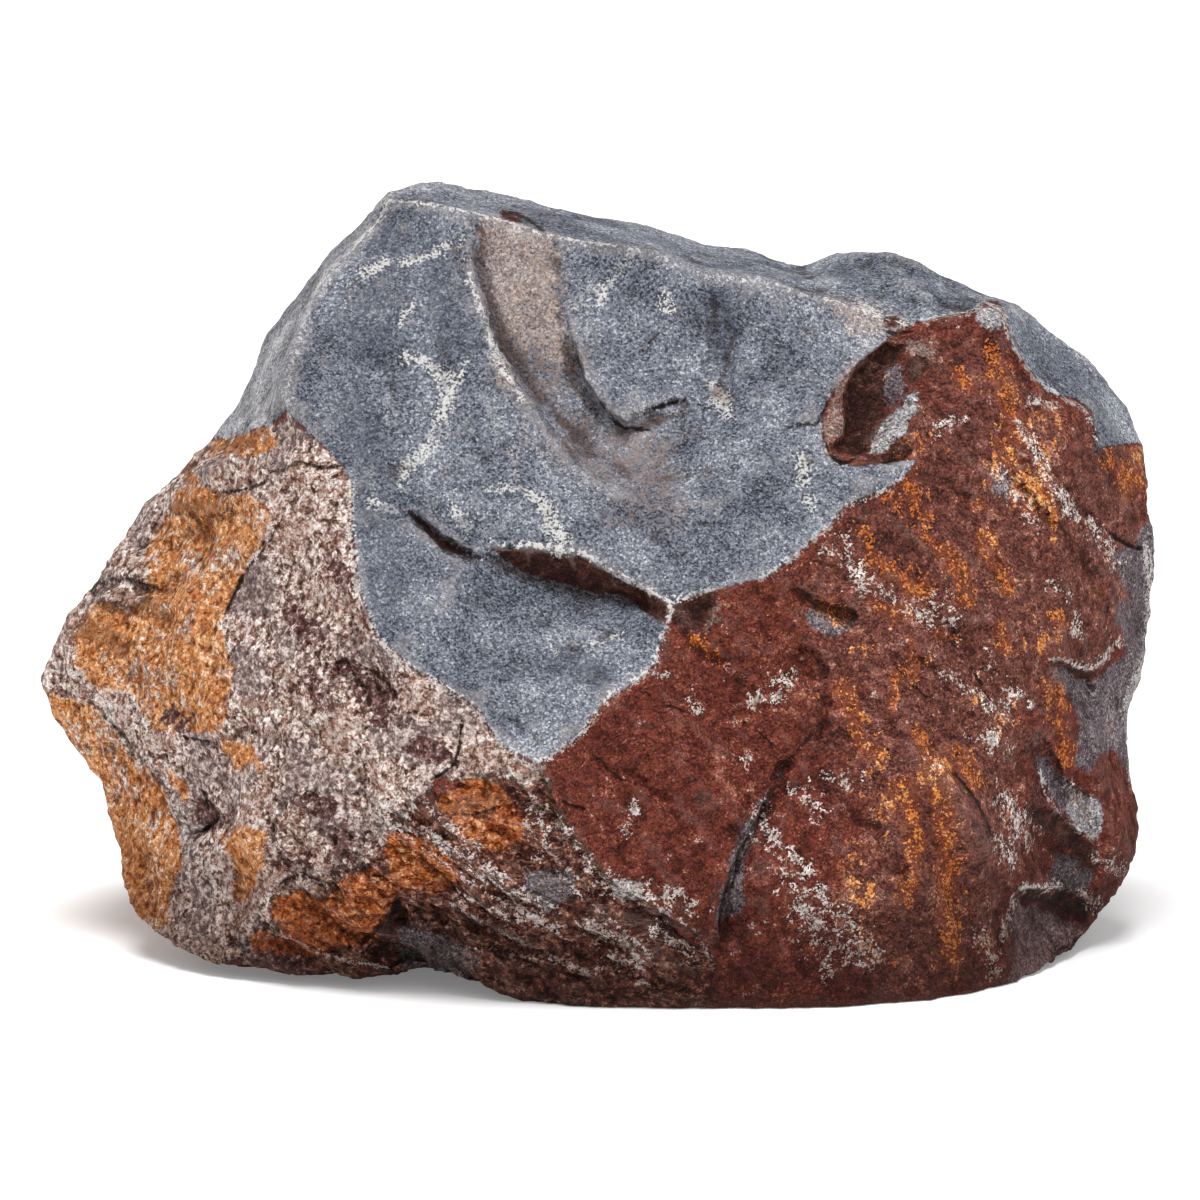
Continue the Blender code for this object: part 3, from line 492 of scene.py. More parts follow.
class Grid:
    """Points spaced evenly over the sheet, with the stone's outline in the middle."""

    def __init__(self, spacing, outline):
        self.spacing = spacing
        self.low = np.min([p[:2] for p in outline], axis=0) - 2 * spacing
        size = np.max([p[:2] for p in outline], axis=0) - self.low + 2 * spacing
        self.shape = tuple(int(math.ceil(s / spacing)) + 1 for s in size)
        self.across = self.low[0] + spacing * np.arange(self.shape[0])[:, None] + np.zeros(self.shape)
        self.up = self.low[1] + spacing * np.arange(self.shape[1])[None, :] + np.zeros(self.shape)

    def draw(self, line, fixed, values):
        """Fixes the values along a line (across, up, value)."""
        points = walk(line, self.spacing / 2)
        i = np.rint((points[:, 0] - self.low[0]) / self.spacing).astype(int).clip(0, self.shape[0] - 1)
        j = np.rint((points[:, 1] - self.low[1]) / self.spacing).astype(int).clip(0, self.shape[1] - 1)
        fixed[i, j] = True
        values[i, j] = points[:, 2]

    def sample(self, values, across, up):
        """Values read at any places, blended from the four nearest points."""
        i = ((across - self.low[0]) / self.spacing).clip(0, self.shape[0] - 1.001)
        j = ((up - self.low[1]) / self.spacing).clip(0, self.shape[1] - 1.001)
        i0, j0 = i.astype(int), j.astype(int)
        fi, fj = i - i0, j - j0
        low = values[i0, j0] * (1 - fi) + values[i0 + 1, j0] * fi
        high = values[i0, j0 + 1] * (1 - fi) + values[i0 + 1, j0 + 1] * fi
        return low * (1 - fj) + high * fj


print("the finest grid has a point every", GRID_MM, "mm")

# %% [markdown]
# ## Inside, near and beside
#
# Three questions come up again and again: does a place lie inside a closed edge, how far is it from a
# line, and on which side of the line is it? Each is answered for all places at once, one stretch of the
# line after the other. A broken edge is never as straight as it is drawn, so `wobble` says how far it
# strays.

# %% Distances
def inside_of(across, up, edge):
    """True at the places inside a closed edge."""
    inside = np.zeros(np.shape(across), bool)
    for (x0, y0, *_), (x1, y1, *_) in zip(edge, edge[1:] + edge[:1]):
        if y0 != y1:
            crosses = (up >= min(y0, y1)) & (up < max(y0, y1))
            inside ^= crosses & (across < x0 + (up - y0) * (x1 - x0) / (y1 - y0))
    return inside


def line_distance(across, up, line):
    """Distance from each place to the nearest point of a line."""
    nearest = np.full(np.shape(across), np.inf)
    for (x0, y0, *_), (x1, y1, *_) in zip(line, line[1:]):
        dx, dy = x1 - x0, y1 - y0
        length = dx * dx + dy * dy
        if length:
            part = (((across - x0) * dx + (up - y0) * dy) / length).clip(0, 1)
            away = np.hypot(across - x0 - part * dx, up - y0 - part * dy)
            nearest = np.minimum(nearest, away)
    return nearest


def edge_distance(across, up, edge):
    """Distance to a closed edge, negative inside it."""
    distance = line_distance(across, up, edge + edge[:1])
    return np.where(inside_of(across, up, edge), -distance, distance)


def beside_line(across, up, line):
    """Distance to a line, positive on its right-hand side, and how far along it from 0 to 1."""
    nearest = np.full(np.shape(across), np.inf)
    side = np.ones(np.shape(across))
    along_line = np.zeros(np.shape(across))
    for number, ((x0, y0), (x1, y1)) in enumerate(zip(line, line[1:])):
        dx, dy = x1 - x0, y1 - y0
        part = (((across - x0) * dx + (up - y0) * dy) / (dx * dx + dy * dy)).clip(0, 1)
        distance = np.hypot(across - x0 - part * dx, up - y0 - part * dy)
        closer = distance < nearest
        nearest = np.where(closer, distance, nearest)
        right = np.where((across - x0) * dy - (up - y0) * dx > 0, 1, -1)
        side = np.where(closer, right, side)
        along_line = np.where(closer, (number + part) / (len(line) - 1), along_line)
    return nearest * side, along_line


def taper(along_line):
    """0 at a line's ends and 1 from a fifth of its length on."""
    return (5 * np.minimum(along_line, 1 - along_line)).clip(0, 1) ** 0.7


WAVE_LENGTHS = (15, 9.7, 6.1, 4.3, 3.1)
WAVE_TURN, WAVE_DELAY = 2.4, 1.7


def wobble(across, up):
    """How far a broken edge strays from its drawn line, in millimetres. Sums of waves are enough."""
    total = 0
    for turn, length in enumerate(WAVE_LENGTHS):
        lean = across * math.cos(WAVE_TURN * turn) + up * math.sin(WAVE_TURN * turn)
        total = total + 0.03 * length * np.sin(2 * math.pi * lean / length + WAVE_DELAY * turn)
    return 1.5 * total


print("100 mm above the foot a broken edge strays by", round(float(wobble(0, 100)), 2), "mm")

# %% [markdown]
# ## Membranes for the front and the back
#
# The arrises carry the first membrane, and the reliefs a second one that is added to it. Cracks and
# ledges come last, point by point, because they are narrower than a membrane's curves. The back has its
# own lines. A third membrane with the outline alone is the middle of the stone: what lies behind it
# counts as the back.

# %% Membranes
RELAX_ROUNDS = 240
COARSER_GRIDS = (16, 8, 4, 2, 1)


def relax(values, fixed):
    for _ in range(RELAX_ROUNDS):
        beside = np.roll(values, 1, 0) + np.roll(values, -1, 0)
        above = np.roll(values, 1, 1) + np.roll(values, -1, 1)
        values = np.where(fixed, values, (beside + above) / 4)
    return values


def membrane(outline, lines, free_inside=None):
    """Stretches a membrane between lines. With free_inside, a list of closed edges, it stays at zero
    everywhere outside them."""
    coarser = None
    for factor in COARSER_GRIDS:
        grid = Grid(GRID_MM * factor, outline)
        fixed = np.zeros(grid.shape, bool)
        values = np.zeros(grid.shape)
        if coarser:
            values = coarser[0].sample(coarser[1], grid.across, grid.up)
        if free_inside:
            fixed[:] = True
            for edge in free_inside:
                fixed &= ~inside_of(grid.across, grid.up, edge)
            values[fixed] = 0
        for line in lines:
            grid.draw(line, fixed, values)
        values = relax(values, fixed)
        coarser = grid, values
    return coarser


outline = on_sheet(OUTLINE)
closed_outline = outline + outline[:1]
foot_line = from_space([(x, y, SUNK_FOOT) for x, y in FOOT_LOOP])
grid, front = membrane(outline, [closed_outline, *map(on_sheet, FRONT_LINES)])
_, back = membrane(outline, [closed_outline, *map(from_space, BACK_LINES), foot_line])
_, middle = membrane(outline, [closed_outline])
relief_lines = [on_sheet(line) for _, lines in RELIEFS for line in lines]
_, relief = membrane(outline, relief_lines, [on_sheet(edge) for edge, _ in RELIEFS])
front += relief
ragged = wobble(grid.across, grid.up)
for line, half_width, deep in CRACKS:
    offset, along_line = beside_line(grid.across, grid.up, on_sheet(line))
    front += deep * (1 - abs(offset + 0.5 * ragged) / half_width).clip(0, 1) * taper(along_line)
for line, step_height, fade in LEDGES:
    offset, along_line = beside_line(grid.across, grid.up, on_sheet(line))
    offset += ragged
    step = np.where(offset > 0, np.exp(-offset.clip(0) / fade), 0)
    front += step_height * step * taper(along_line)
print("membranes on a grid of", grid.shape, "after", round(time.time() - started, 1), "s")

# %% [markdown]
# ## Sewing front and back
#
# The front and back are two shells over the same outline. Along it they share their points, so the
# two make one closed skin. It is still stretched near the outline, where the surface turns away, so a
# voxel remesh then covers it with squares of one size, ready for fine roughness everywhere.

# %% Sew the shells
def rim_of(inside):
    """The points inside that have a neighbour outside."""
    whole = inside.copy()
    for i in (-1, 0, 1):
        for j in (-1, 0, 1):
            whole &= np.roll(inside, (i, j), (0, 1))
    return inside & ~whole


def sewn(front, back):
    """The two shells as points (x, y, z) and faces of one closed mesh."""
    inside = inside_of(grid.across, grid.up, outline)
    rim = rim_of(inside)
    trace = walk(closed_outline, GRID_MM / 2)
    places = np.stack([grid.across[rim], grid.up[rim]], axis=1)
    nearest = [((place - trace[:, :2]) ** 2).sum(axis=1).argmin() for place in places]
    front[rim] = back[rim] = trace[nearest, 2]
    within = inside & ~rim
    number = np.full((2, *grid.shape), -1)
    number[0][inside] = np.arange(inside.sum())
    number[1][within] = inside.sum() + np.arange(within.sum())
    number[1][rim] = number[0][rim]
    across = np.concatenate([grid.across[inside], grid.across[within]])
    up = np.concatenate([grid.up[inside], grid.up[within]])
    depth = np.concatenate([front[inside], back[within]])
    faces = []
    for side in number:
        corners = [side[:-1, :-1], side[1:, :-1], side[1:, 1:], side[:-1, 1:]]
        quads = np.stack([corner.ravel() for corner in corners], axis=1)
        faces.append(quads[(quads >= 0).all(axis=1)])
    faces = np.concatenate([faces[0], faces[1][:, ::-1]])
    same_on_both = np.sort(faces, axis=1)
    _, first, count = np.unique(same_on_both, axis=0, return_index=True, return_counts=True)
    return np.stack([across, depth, height_of(up, depth)], axis=1), faces[first[count == 1]]


def apply_modifier(made, kind, **settings):
    modifier = made.modifiers.new(kind, kind)
    for setting, value in settings.items():
        setattr(modifier, setting, value)
    graph = bpy.context.evaluated_depsgraph_get()
    result = bpy.data.meshes.new_from_object(made.evaluated_get(graph))
    made.modifiers.clear()
    made.data = result


points, faces = sewn(front, back)
shell = bpy.data.meshes.new("rock_skin")
shell.from_pydata((points * MM).tolist(), [], faces.tolist())
rock = bpy.data.objects.new("rock_skin", shell)
bpy.context.scene.collection.objects.link(rock)
apply_modifier(rock, "REMESH", mode="VOXEL", voxel_size=SKIN_MM * MM)
print(len(rock.data.vertices), "points after", round(time.time() - started, 1), "s")

# %% [markdown]
# ## Repeatable chance
#
# Broken stone is full of small accidents, and the same accidents have to come back each time. So each
# cell of space gets its number by mixing up the bits of its own coordinates. `rolling` blends those
# numbers to soft swells, and `flaked` makes scars like those that flakes leave: shallow bowls that meet
# in sharp ridges. Blender's own noise would do the swells, but not the ridges at this speed.

# %% Noise
FLAKE_MEAN = 0.35


def chance(cells, seed):
    """A repeatable number from 0 to 1 for each whole-numbered cell."""
    cells = cells.astype(np.int64).astype(np.uint32)
    h = cells[..., 0] * np.uint32(374761393) + cells[..., 1] * np.uint32(668265263)
    h = h + cells[..., 2] * np.uint32(2246822519) + np.uint32((seed * 3266489917) % 2**32)
    h = (h ^ (h >> np.uint32(15))) * np.uint32(2246822519)
    h = (h ^ (h >> np.uint32(13))) * np.uint32(3266489917)
    return (h ^ (h >> np.uint32(16))) / 2**32


def rolling(points, seed):
    """Smooth noise from -1 to 1, with swells about one unit wide."""
    cell = np.floor(points)
    part = points - cell
    part = part * part * (3 - 2 * part)
    total = 0
    for corner in np.ndindex(2, 2, 2):
        weight = np.prod(np.where(corner, part, 1 - part), axis=1)
        total = total + weight * chance(cell + corner, seed)
    return 2 * total - 1


def flaked(points, seed, tilt=0.9, bowl=0.7):
    """Scars about one unit wide: in each cell of space is a bowl, and the lowest bowl shows."""
    cell = np.floor(points)
    lowest = np.full(len(points), np.inf)
    for corner in np.ndindex(3, 3, 3):
        near = cell + np.array(corner) - 1
        heart = near + np.stack([chance(near, seed + k) for k in range(3)], axis=1)
        slope = np.stack([chance(near, seed + 3 + k) for k in range(3)], axis=1) - 0.5
        level = 0.5 * chance(near, seed + 6)
        away = points - heart
        lowest = np.minimum(lowest, tilt * (slope * away).sum(axis=1) + bowl * (away**2).sum(axis=1) + level)
    return lowest - FLAKE_MEAN


print("the cell (1, 2, 3) has the number", chance(np.array([1, 2, 3]), 1).round(3))

# %% [markdown]
# ## Where each kind of stone lies
#
# The faces differ because they were broken at different times. The blue-grey one is fresh. The pale one
# beside it is rough and speckled, the left end is stained orange, the hollows low in the middle are
# umber, and the rest is a red-brown crust with slate-coloured breaks in it. Their borders are drawn on
# the sheet as the arrises were.

# %% Zones of the front: (column, row)
FRESH = [[
    (150, 100), (1250, 100), (1250, 440), (1139, 443), (1105, 446), (1095, 455), (1096, 436),
    (1091, 409), (1076, 399), (1047, 392), (1030, 370), (1013, 348), (1006, 315), (1000, 303),
    (985, 300), (970, 313), (945, 316), (905, 325), (885, 341), (858, 363), (841, 382), (827, 402),
    (822, 420), (824, 440), (830, 458), (850, 466), (880, 464), (905, 460), (916, 460), (905, 477),
    (891, 487), (848, 504), (827, 528), (814, 538), (800, 552), (776, 571), (760, 579), (740, 583),
    (700, 594), (672, 607), (668, 628), (663, 639), (654, 666), (629, 687), (608, 698), (588, 723),
    (579, 737), (547, 757), (538, 765), (524, 757), (506, 748), (492, 732), (479, 709), (458, 696),
    (440, 682), (406, 663), (377, 634), (359, 591), (352, 527), (352, 484), (343, 466), (327, 449),
    (295, 420), (287, 410), (270, 425), (228, 440), (150, 420),
]]
PALE = [[
    (20, 380), (150, 420), (228, 440), (270, 425), (287, 410), (295, 420), (327, 449), (343, 466),
    (352, 484), (352, 527), (359, 591), (377, 634), (406, 663), (440, 682), (458, 696), (479, 709),
    (492, 732), (506, 748), (524, 757), (538, 765), (552, 785), (520, 780), (500, 772), (470, 775),
    (440, 785), (415, 805), (395, 828), (375, 850), (345, 872), (330, 900), (280, 925), (250, 960),
    (160, 980), (20, 960),
]]
UMBER = [
    [
        (538, 765), (552, 800), (574, 830), (605, 872), (652, 914), (704, 945), (714, 966),
        (720, 1040), (250, 1040), (240, 945), (300, 935), (350, 925), (385, 925), (392, 885),
        (370, 860), (380, 830), (420, 800), (460, 785), (500, 775), (525, 790),
    ],
    [(272, 800), (330, 790), (380, 800), (350, 850), (325, 872), (285, 870), (268, 845)],
    # painted shade under the ledge at the left end
    [(93, 588), (120, 578), (150, 580), (160, 592), (140, 607), (100, 606)],
]
ORANGE = [
    [
        (177, 491), (188, 488), (220, 491), (249, 495), (270, 516), (259, 534), (249, 563),
        (234, 599), (222, 627), (231, 663), (234, 688), (222, 716), (216, 738), (181, 731),
        (156, 727), (141, 706), (120, 691), (91, 684), (75, 666), (74, 634), (79, 613), (106, 599),
        (127, 613), (145, 595), (149, 570), (152, 545), (163, 524), (174, 513),
    ],
    [(215, 441), (234, 430), (263, 428), (276, 441), (266, 456), (234, 452), (213, 455)],
    [(184, 466), (193, 464), (197, 486), (186, 490)],
    [
        (30, 680), (49, 690), (88, 702), (116, 741), (138, 763), (170, 791), (177, 824), (184, 849),
        (177, 884), (163, 924), (130, 940), (60, 900),
    ],
    [(158, 766), (180, 768), (192, 790), (186, 808), (170, 790)],
    [(220, 741), (250, 740), (266, 755), (262, 771), (235, 768)],
    [(220, 834), (241, 827), (270, 831), (266, 870), (249, 895), (238, 909), (231, 884), (224, 859)],
]
CLAY = [
    [
        (434, 798), (458, 786), (480, 782), (500, 788), (512, 803), (526, 814), (524, 844),
        (490, 850), (470, 842), (450, 828),
    ],
    [
        (389, 833), (408, 834), (430, 842), (446, 852), (459, 862), (456, 880), (440, 889),
        (412, 892), (398, 884), (390, 860),
    ],
    [
        (276, 896), (300, 888), (322, 896), (345, 878), (372, 872), (396, 886), (398, 900),
        (386, 920), (372, 940), (340, 948), (300, 960), (262, 955), (250, 940), (280, 930),
        (274, 912),
    ],
]
SLATE = [
    [
        (1047, 668), (1060, 666), (1076, 677), (1092, 676), (1106, 668), (1124, 652), (1120, 620),
        (1128, 590), (1112, 552), (1136, 545), (1150, 500), (1180, 500), (1180, 700), (1150, 780),
        (1128, 778), (1116, 748), (1100, 752), (1090, 775), (1075, 766), (1079, 739), (1076, 718),
        (1069, 698), (1058, 679),
    ],
    [
        (1036, 752), (1050, 762), (1062, 776), (1070, 790), (1082, 796), (1098, 806), (1100, 836),
        (1086, 832), (1068, 818), (1056, 806), (1046, 790), (1036, 770),
    ],
    [
        (1052, 850), (1076, 854), (1095, 872), (1092, 888), (1080, 896), (1062, 892), (1050, 880),
    ],
    [
        (796, 752), (784, 772), (768, 796), (756, 826), (748, 850), (744, 880), (742, 910),
        (716, 930), (722, 890), (732, 856), (746, 826), (762, 800), (778, 776),
    ],
    [(396, 928), (428, 926), (462, 942), (478, 958), (468, 980), (430, 984), (400, 966)],
    [(524, 874), (548, 866), (572, 874), (570, 896), (548, 910), (528, 898)],
    # the facet under the brow: slate colour, partly painted shade
    [(804, 606), (830, 615), (854, 622), (852, 634), (836, 640), (816, 634), (806, 622)],
    [(883, 372), (892, 362), (904, 364), (906, 388), (898, 404), (886, 404)],
    [(988, 470), (1004, 474), (1014, 490), (1008, 500), (992, 490)],
]
# A lighter grey copy of the fresh stone on the strip at the upper left that faces up to the light: partly
# painted light.
FROST_AND_PAINTED_LIGHT = [[
    (388, 186), (350, 225), (325, 250), (290, 300), (255, 350), (228, 405), (215, 440), (265, 430),
    (287, 405), (290, 375), (303, 325), (325, 275), (345, 255), (375, 225),
]]
WARM = [[
    (480, 225), (540, 235), (560, 260), (575, 300), (580, 340), (570, 400), (600, 425), (676, 440),
    (676, 500), (620, 500), (560, 452), (530, 405), (500, 360), (484, 310), (474, 260),
]]
BEIGE = [
    [
        (478, 222), (520, 222), (552, 240), (560, 262), (554, 300), (564, 330), (572, 352),
        (560, 372), (544, 352), (522, 346), (506, 330), (494, 300), (484, 262),
    ],
    [(491, 356), (506, 360), (516, 380), (508, 390), (496, 376)],
    [
        (838, 376), (850, 368), (846, 386), (842, 407), (844, 430), (829, 441), (828, 452),
        (846, 462), (828, 458), (822, 445), (824, 420), (830, 402),
    ],
    [(706, 604), (718, 602), (716, 622), (706, 628)],
    [(905, 343), (930, 341), (935, 358), (912, 359)],
    [(826, 296), (870, 304), (908, 322), (892, 336), (872, 338), (850, 334), (836, 314)],
]
# Dark brown earth in the broken-out hollows, and painted shade in the undercuts under the ledges and lips.
EARTH_AND_UNDERCUT_SHADE = [
    [
        (489, 546), (511, 548), (538, 547), (547, 553), (574, 554), (588, 559), (601, 567),
        (615, 577), (629, 584), (642, 588), (654, 596), (669, 602), (674, 610), (667, 628),
        (651, 616), (642, 611), (629, 598), (610, 594), (588, 592), (572, 585), (554, 581),
        (533, 576), (520, 571), (508, 561), (494, 550),
    ],
    [
        (413, 514), (425, 524), (440, 536), (462, 549), (478, 555), (461, 555), (440, 548),
        (424, 531),
    ],
    [(499, 210), (512, 210), (524, 218), (518, 226), (503, 223)],
    [
        (886, 343), (906, 346), (902, 358), (884, 374), (883, 396), (886, 409), (875, 428),
        (868, 453), (856, 458), (845, 452), (830, 444), (845, 438), (847, 417), (850, 399),
        (849, 384), (858, 365),
    ],
    [(906, 358), (919, 354), (930, 360), (924, 374), (912, 388), (905, 376)],
    [(874, 456), (891, 450), (893, 438), (905, 436), (913, 447), (905, 456), (889, 463)],
    [(678, 600), (700, 592), (718, 592), (716, 606), (706, 612), (702, 626), (684, 634), (672, 622)],
    [(883, 318), (897, 314), (901, 326), (887, 329)],
    [
        (797, 586), (813, 596), (832, 605), (858, 614), (860, 621), (846, 620), (830, 614),
        (811, 605), (799, 594),
    ],
    [
        (1026, 810), (1055, 813), (1070, 828), (1084, 840), (1096, 852), (1104, 868), (1097, 870),
        (1086, 863), (1072, 850), (1058, 841), (1040, 830),
    ],
    [
        (1018, 896), (1030, 891), (1058, 893), (1079, 899), (1093, 910), (1086, 920), (1067, 914),
        (1058, 908), (1039, 901), (1020, 900),
    ],
    [(1062, 664), (1076, 668), (1094, 672), (1090, 680), (1076, 676)],
    [(380, 940), (388, 915), (398, 896), (404, 908), (396, 930), (384, 956), (368, 962)],
    [(624, 908), (650, 906), (672, 920), (684, 940), (660, 946), (630, 930)],
    [(400, 916), (424, 920), (454, 932), (484, 952), (470, 950), (440, 936), (404, 926)],
]
CHIPS = [
    [
        (918, 389), (917, 411), (908, 420), (906, 434), (893, 438), (889, 450), (868, 456),
        (874, 434), (886, 417), (902, 406), (905, 396),
    ],
    [(974, 305), (1001, 309), (1005, 327), (984, 330), (976, 318)],
    [
        (1066, 780), (1078, 791), (1092, 794), (1102, 803), (1102, 832), (1092, 842), (1078, 828),
        (1068, 812),
    ],
    [(610, 882), (624, 879), (641, 882), (640, 896), (628, 904), (612, 896)],
]
LIT_SLATE = [
    [
        (1014, 904), (1040, 906), (1062, 915), (1090, 924), (1094, 940), (1062, 975), (1010, 990),
        (1008, 950), (1004, 925),
    ],
]
WINE = [[
    (800, 540), (905, 477), (920, 330), (1010, 325), (1050, 395), (1100, 430), (1160, 470),
    (1160, 560), (1110, 640), (1060, 660), (1040, 760), (1020, 880), (1000, 1000), (860, 1000),
    (840, 880), (842, 760), (835, 700), (820, 650), (788, 640),
]]
print(sum(map(len, (ORANGE, CLAY, SLATE, EARTH_AND_UNDERCUT_SHADE, CHIPS, BEIGE))), "small patches")

# %% [markdown]
# ## The same kinds on the back
#
# The zones of the back are drawn with few points and then made ragged by noise, since nobody knows their
# true edges. Where the skin turns from front to back, one set of zones fades into the other.

# %% Zones of the back: (x, z)
FRESH_BEHIND = [[
    (-300, 400), (-300, 262), (-180, 262), (-120, 300), (-60, 318), (0, 300), (60, 290), (100, 262),
    (140, 200), (190, 150), (235, 130), (300, 120), (300, 400),
]]
ORANGE_BEHIND = [[
    (-300, -20), (-300, 240), (-215, 230), (-190, 150), (-150, 110), (-120, 40), (-130, -20),
]]
UMBER_BEHIND = [[
    (-130, -20), (-110, 50), (-40, 70), (30, 45), (110, 65), (180, 50), (230, 70), (300, 60),
    (300, -20),
]]
PALE_BEHIND = [
    [(-190, 90), (-170, 170), (-110, 215), (-60, 190), (-95, 130), (-130, 50)],
    [(-60, 90), (-30, 120), (20, 110), (0, 85)],
]
SLATE_BEHIND = [
    [(40, 150), (100, 175), (170, 120), (150, 90), (90, 115)],
    [(-90, 262), (-10, 236), (40, 250), (20, 280), (-30, 290)],
]
CLAY_BEHIND = [[(-60, 60), (-20, 95), (40, 90), (70, 60), (30, 30), (-40, 30)]]
WINE_BEHIND = [[(60, 20), (40, 120), (80, 240), (180, 280), (300, 260), (300, 20)]]
ZONES = {
    "fresh": (FRESH, FRESH_BEHIND),
    "pale": (PALE, PALE_BEHIND),
    "umber": (UMBER, UMBER_BEHIND),
    "orange": (ORANGE, ORANGE_BEHIND),
    "clay": (CLAY, CLAY_BEHIND),
    "slate": (SLATE, SLATE_BEHIND),
    "lit slate": (LIT_SLATE, []),
    "wine": (WINE, WINE_BEHIND),
    "frost": (FROST_AND_PAINTED_LIGHT, []),
    "warm": (WARM, []),
    "beige": (BEIGE, []),
    "earth": (EARTH_AND_UNDERCUT_SHADE, []),
    "chips": (CHIPS, []),
}
FAR_OUTSIDE = -80
TURN_MM = 45
RAGGED_BORDERS = [(42, 15, 171), (15, 9, 173), (5, 4, 177)]


def zone_depths(points):
    """How deep inside each zone every point lies, in millimetres: negative outside the zone."""
    across, depth, height = points.T
    up = up_of(depth, height)
    behind = ((depth - grid.sample(middle, across, up)) / TURN_MM).clip(0, 1)
    behind = behind * behind * (3 - 2 * behind)
    raggedness = sum(stray * rolling(points / size, seed) for size, stray, seed in RAGGED_BORDERS)
    depths = {}
    for name, (ahead, back_edges) in ZONES.items():
        front_depth = np.max([-edge_distance(across, up, on_sheet(edge)) for edge in ahead], axis=0)
        back_depth = np.full(len(points), float(FAR_OUTSIDE))
        for edge in back_edges:
            back_depth = np.maximum(back_depth, raggedness - edge_distance(across, height, edge))
        depths[name] = front_depth * (1 - behind) + back_depth * behind
    return depths, behind


skin_points = np.empty(len(rock.data.vertices) * 3, np.float32)
rock.data.vertices.foreach_get("co", skin_points)
skin_points = skin_points.reshape(-1, 3).astype(float) / MM
depths, behind = zone_depths(skin_points)
for name in ZONES:
    print(name, "covers", round(100 * (depths[name] > 0).mean()), "% of the skin")

# %% [markdown]
# ## Roughness you can feel
#
# The large flake scars are the ones that the plain solid has too. The finer ones are only here: small
# flakes, grains that stand out, pits where soft grains fell out, and in the red crust long striations
# along the stone's grain. How strong each is depends on the zone, because the fresh face broke clean
# while the weathered faces have been eaten into for years.

# %% Kinds of roughness
GRAIN = np.array([0.55, 0.25, -0.8])
GRAIN_AXIS = GRAIN / np.linalg.norm(GRAIN)
BED = np.array([0.9, 0.2, -0.38])
BED_AXIS = BED / np.linalg.norm(BED)
FLAKE_SIZES = [(80, 10.0), (36, 5.0), (16, 2.0)]
SWELL_SIZE, SWELL_HEIGHT = 26, 1.4
FACE_EDGE = on_sheet(RIDGE + RIGHT_ARRIS[::-1] + LEFT_ARRIS[::-1])


def share(name, blur=3.0):
    """How much of a zone each point has, from 0 to 1, over a soft border."""
    return 1 / (1 + np.exp(-(depths[name] / blur).clip(-40, 40)))


def along_grain(points, squeeze, axis=GRAIN_AXIS):
    """The points with one direction squeezed, so that noise on them is streaked along it."""
    return points - squeeze * (points @ axis)[:, None] * axis


def terraced(values, step, sharpness=5):
    """Makes a slope into steps, with a short steep riser between flat treads."""
    level = np.floor(values / step)
    part = values / step - level
    return step * (level + ((part - 0.5) * sharpness + 0.5).clip(0, 1))


def coarse_roughness(points):
    across, depth, height = points.T
    from_face = edge_distance(across, up_of(depth, height), FACE_EDGE)
    strength = 0.35 + 0.65 / (1 + np.exp(-from_face / 5))
    out = SWELL_HEIGHT * rolling(points / SWELL_SIZE, 5)
    for seed, (size, flake_height) in enumerate(FLAKE_SIZES):
        out += strength * flake_height * flaked(along_grain(points, 0.62) / size, 12 * seed + 11)
    return out


def fine_roughness(points):
    fresh = share("fresh")
    layered = (share("umber", 6) + share("clay", 6)).clip(0, 1)
    eaten = (share("pale") + share("orange")).clip(0, 1)
    crust = (1 - fresh - eaten - share("umber")).clip(0, 1)
    grained, bedded = along_grain(points, 0.7), along_grain(points, 0.86, BED_AXIS)
    # the red crust broke in flat chips, and thin plates came off it along the grain
    out = crust * 2.0 * flaked(along_grain(points, 0.5) / 24, 111, bowl=0.8)
    plates = 1.0 * rolling(grained / 10, 101) + 1.4 * flaked(grained / 6, 107)
    out += crust * 0.5 * (plates + terraced(plates, 1.1))
    # the umber hollows are weathered in flat layers
    beds = 3.2 * rolling(bedded / 12, 131) + 2.2 * rolling(bedded / 5, 137)
    out += layered * terraced(beds, 1.7, 4)
    # the weathered left side is knobbly, and pitted where soft grains fell out
    knobs = 4.2 * flaked(along_grain(points, 0.5, BED_AXIS) / 20, 61, tilt=1.1, bowl=0.8)
    knobs += 1.8 * flaked(points / 8, 67)
    out += eaten * (knobs - 1.2 * (rolling(points / 4.5, 97) - 0.2).clip(0, 1))
    # where a piece broke out, the stone is torn
    out += share("earth", 1.2) * 1.8 * flaked(points / 9, 151, tilt=1.1)
    # fresh faces have shallow facets only
    out += fresh * (2.4 * flaked(points / 34, 71, tilt=1.1, bowl=0.8) + 1.0 * flaked(points / 10, 73))
    out += (0.5 + 0.5 * (1 - fresh)) * 0.9 * flaked(points / 4.4, 83)
    return out


print("large flakes are", FLAKE_SIZES[0][0], "mm wide and small ones", FLAKE_SIZES[-1][0], "mm")

# %% [markdown]
# ## Moving the skin
#
# Every point of the skin moves straight out of the surface by its roughness. The mesh could be displaced
# by a modifier and a texture as well, but the roughness differs from zone to zone, and numbers can say so.

# %% Roughen the skin
outward = np.empty(len(skin_points) * 3, np.float32)
rock.data.vertex_normals.foreach_get("vector", outward)
outward = outward.reshape(-1, 3).astype(float)
lift = coarse_roughness(skin_points)
lift += fine_roughness(skin_points)
moved = (skin_points + outward * lift[:, None]) * MM
rock.data.vertices.foreach_set("co", moved.astype(np.float32).ravel())
rock.data.update()
print("skin moved by", lift.min().round(1), "to", lift.max().round(1), "mm")

# %% [markdown]
# ## Fewer triangles, a flat foot and its place
#
# The even skin spends as many triangles on flat stretches as on ridges. Decimate takes them away where
# they say least. Then the stone is cut off flat at the floor, and moved sideways so that it stands
# exactly where the plain solid stands. Edges that turn sharply stay sharp, the rest is shaded smooth.

# %% Finish the mesh
SHARP_ANGLE = math.radians(30)


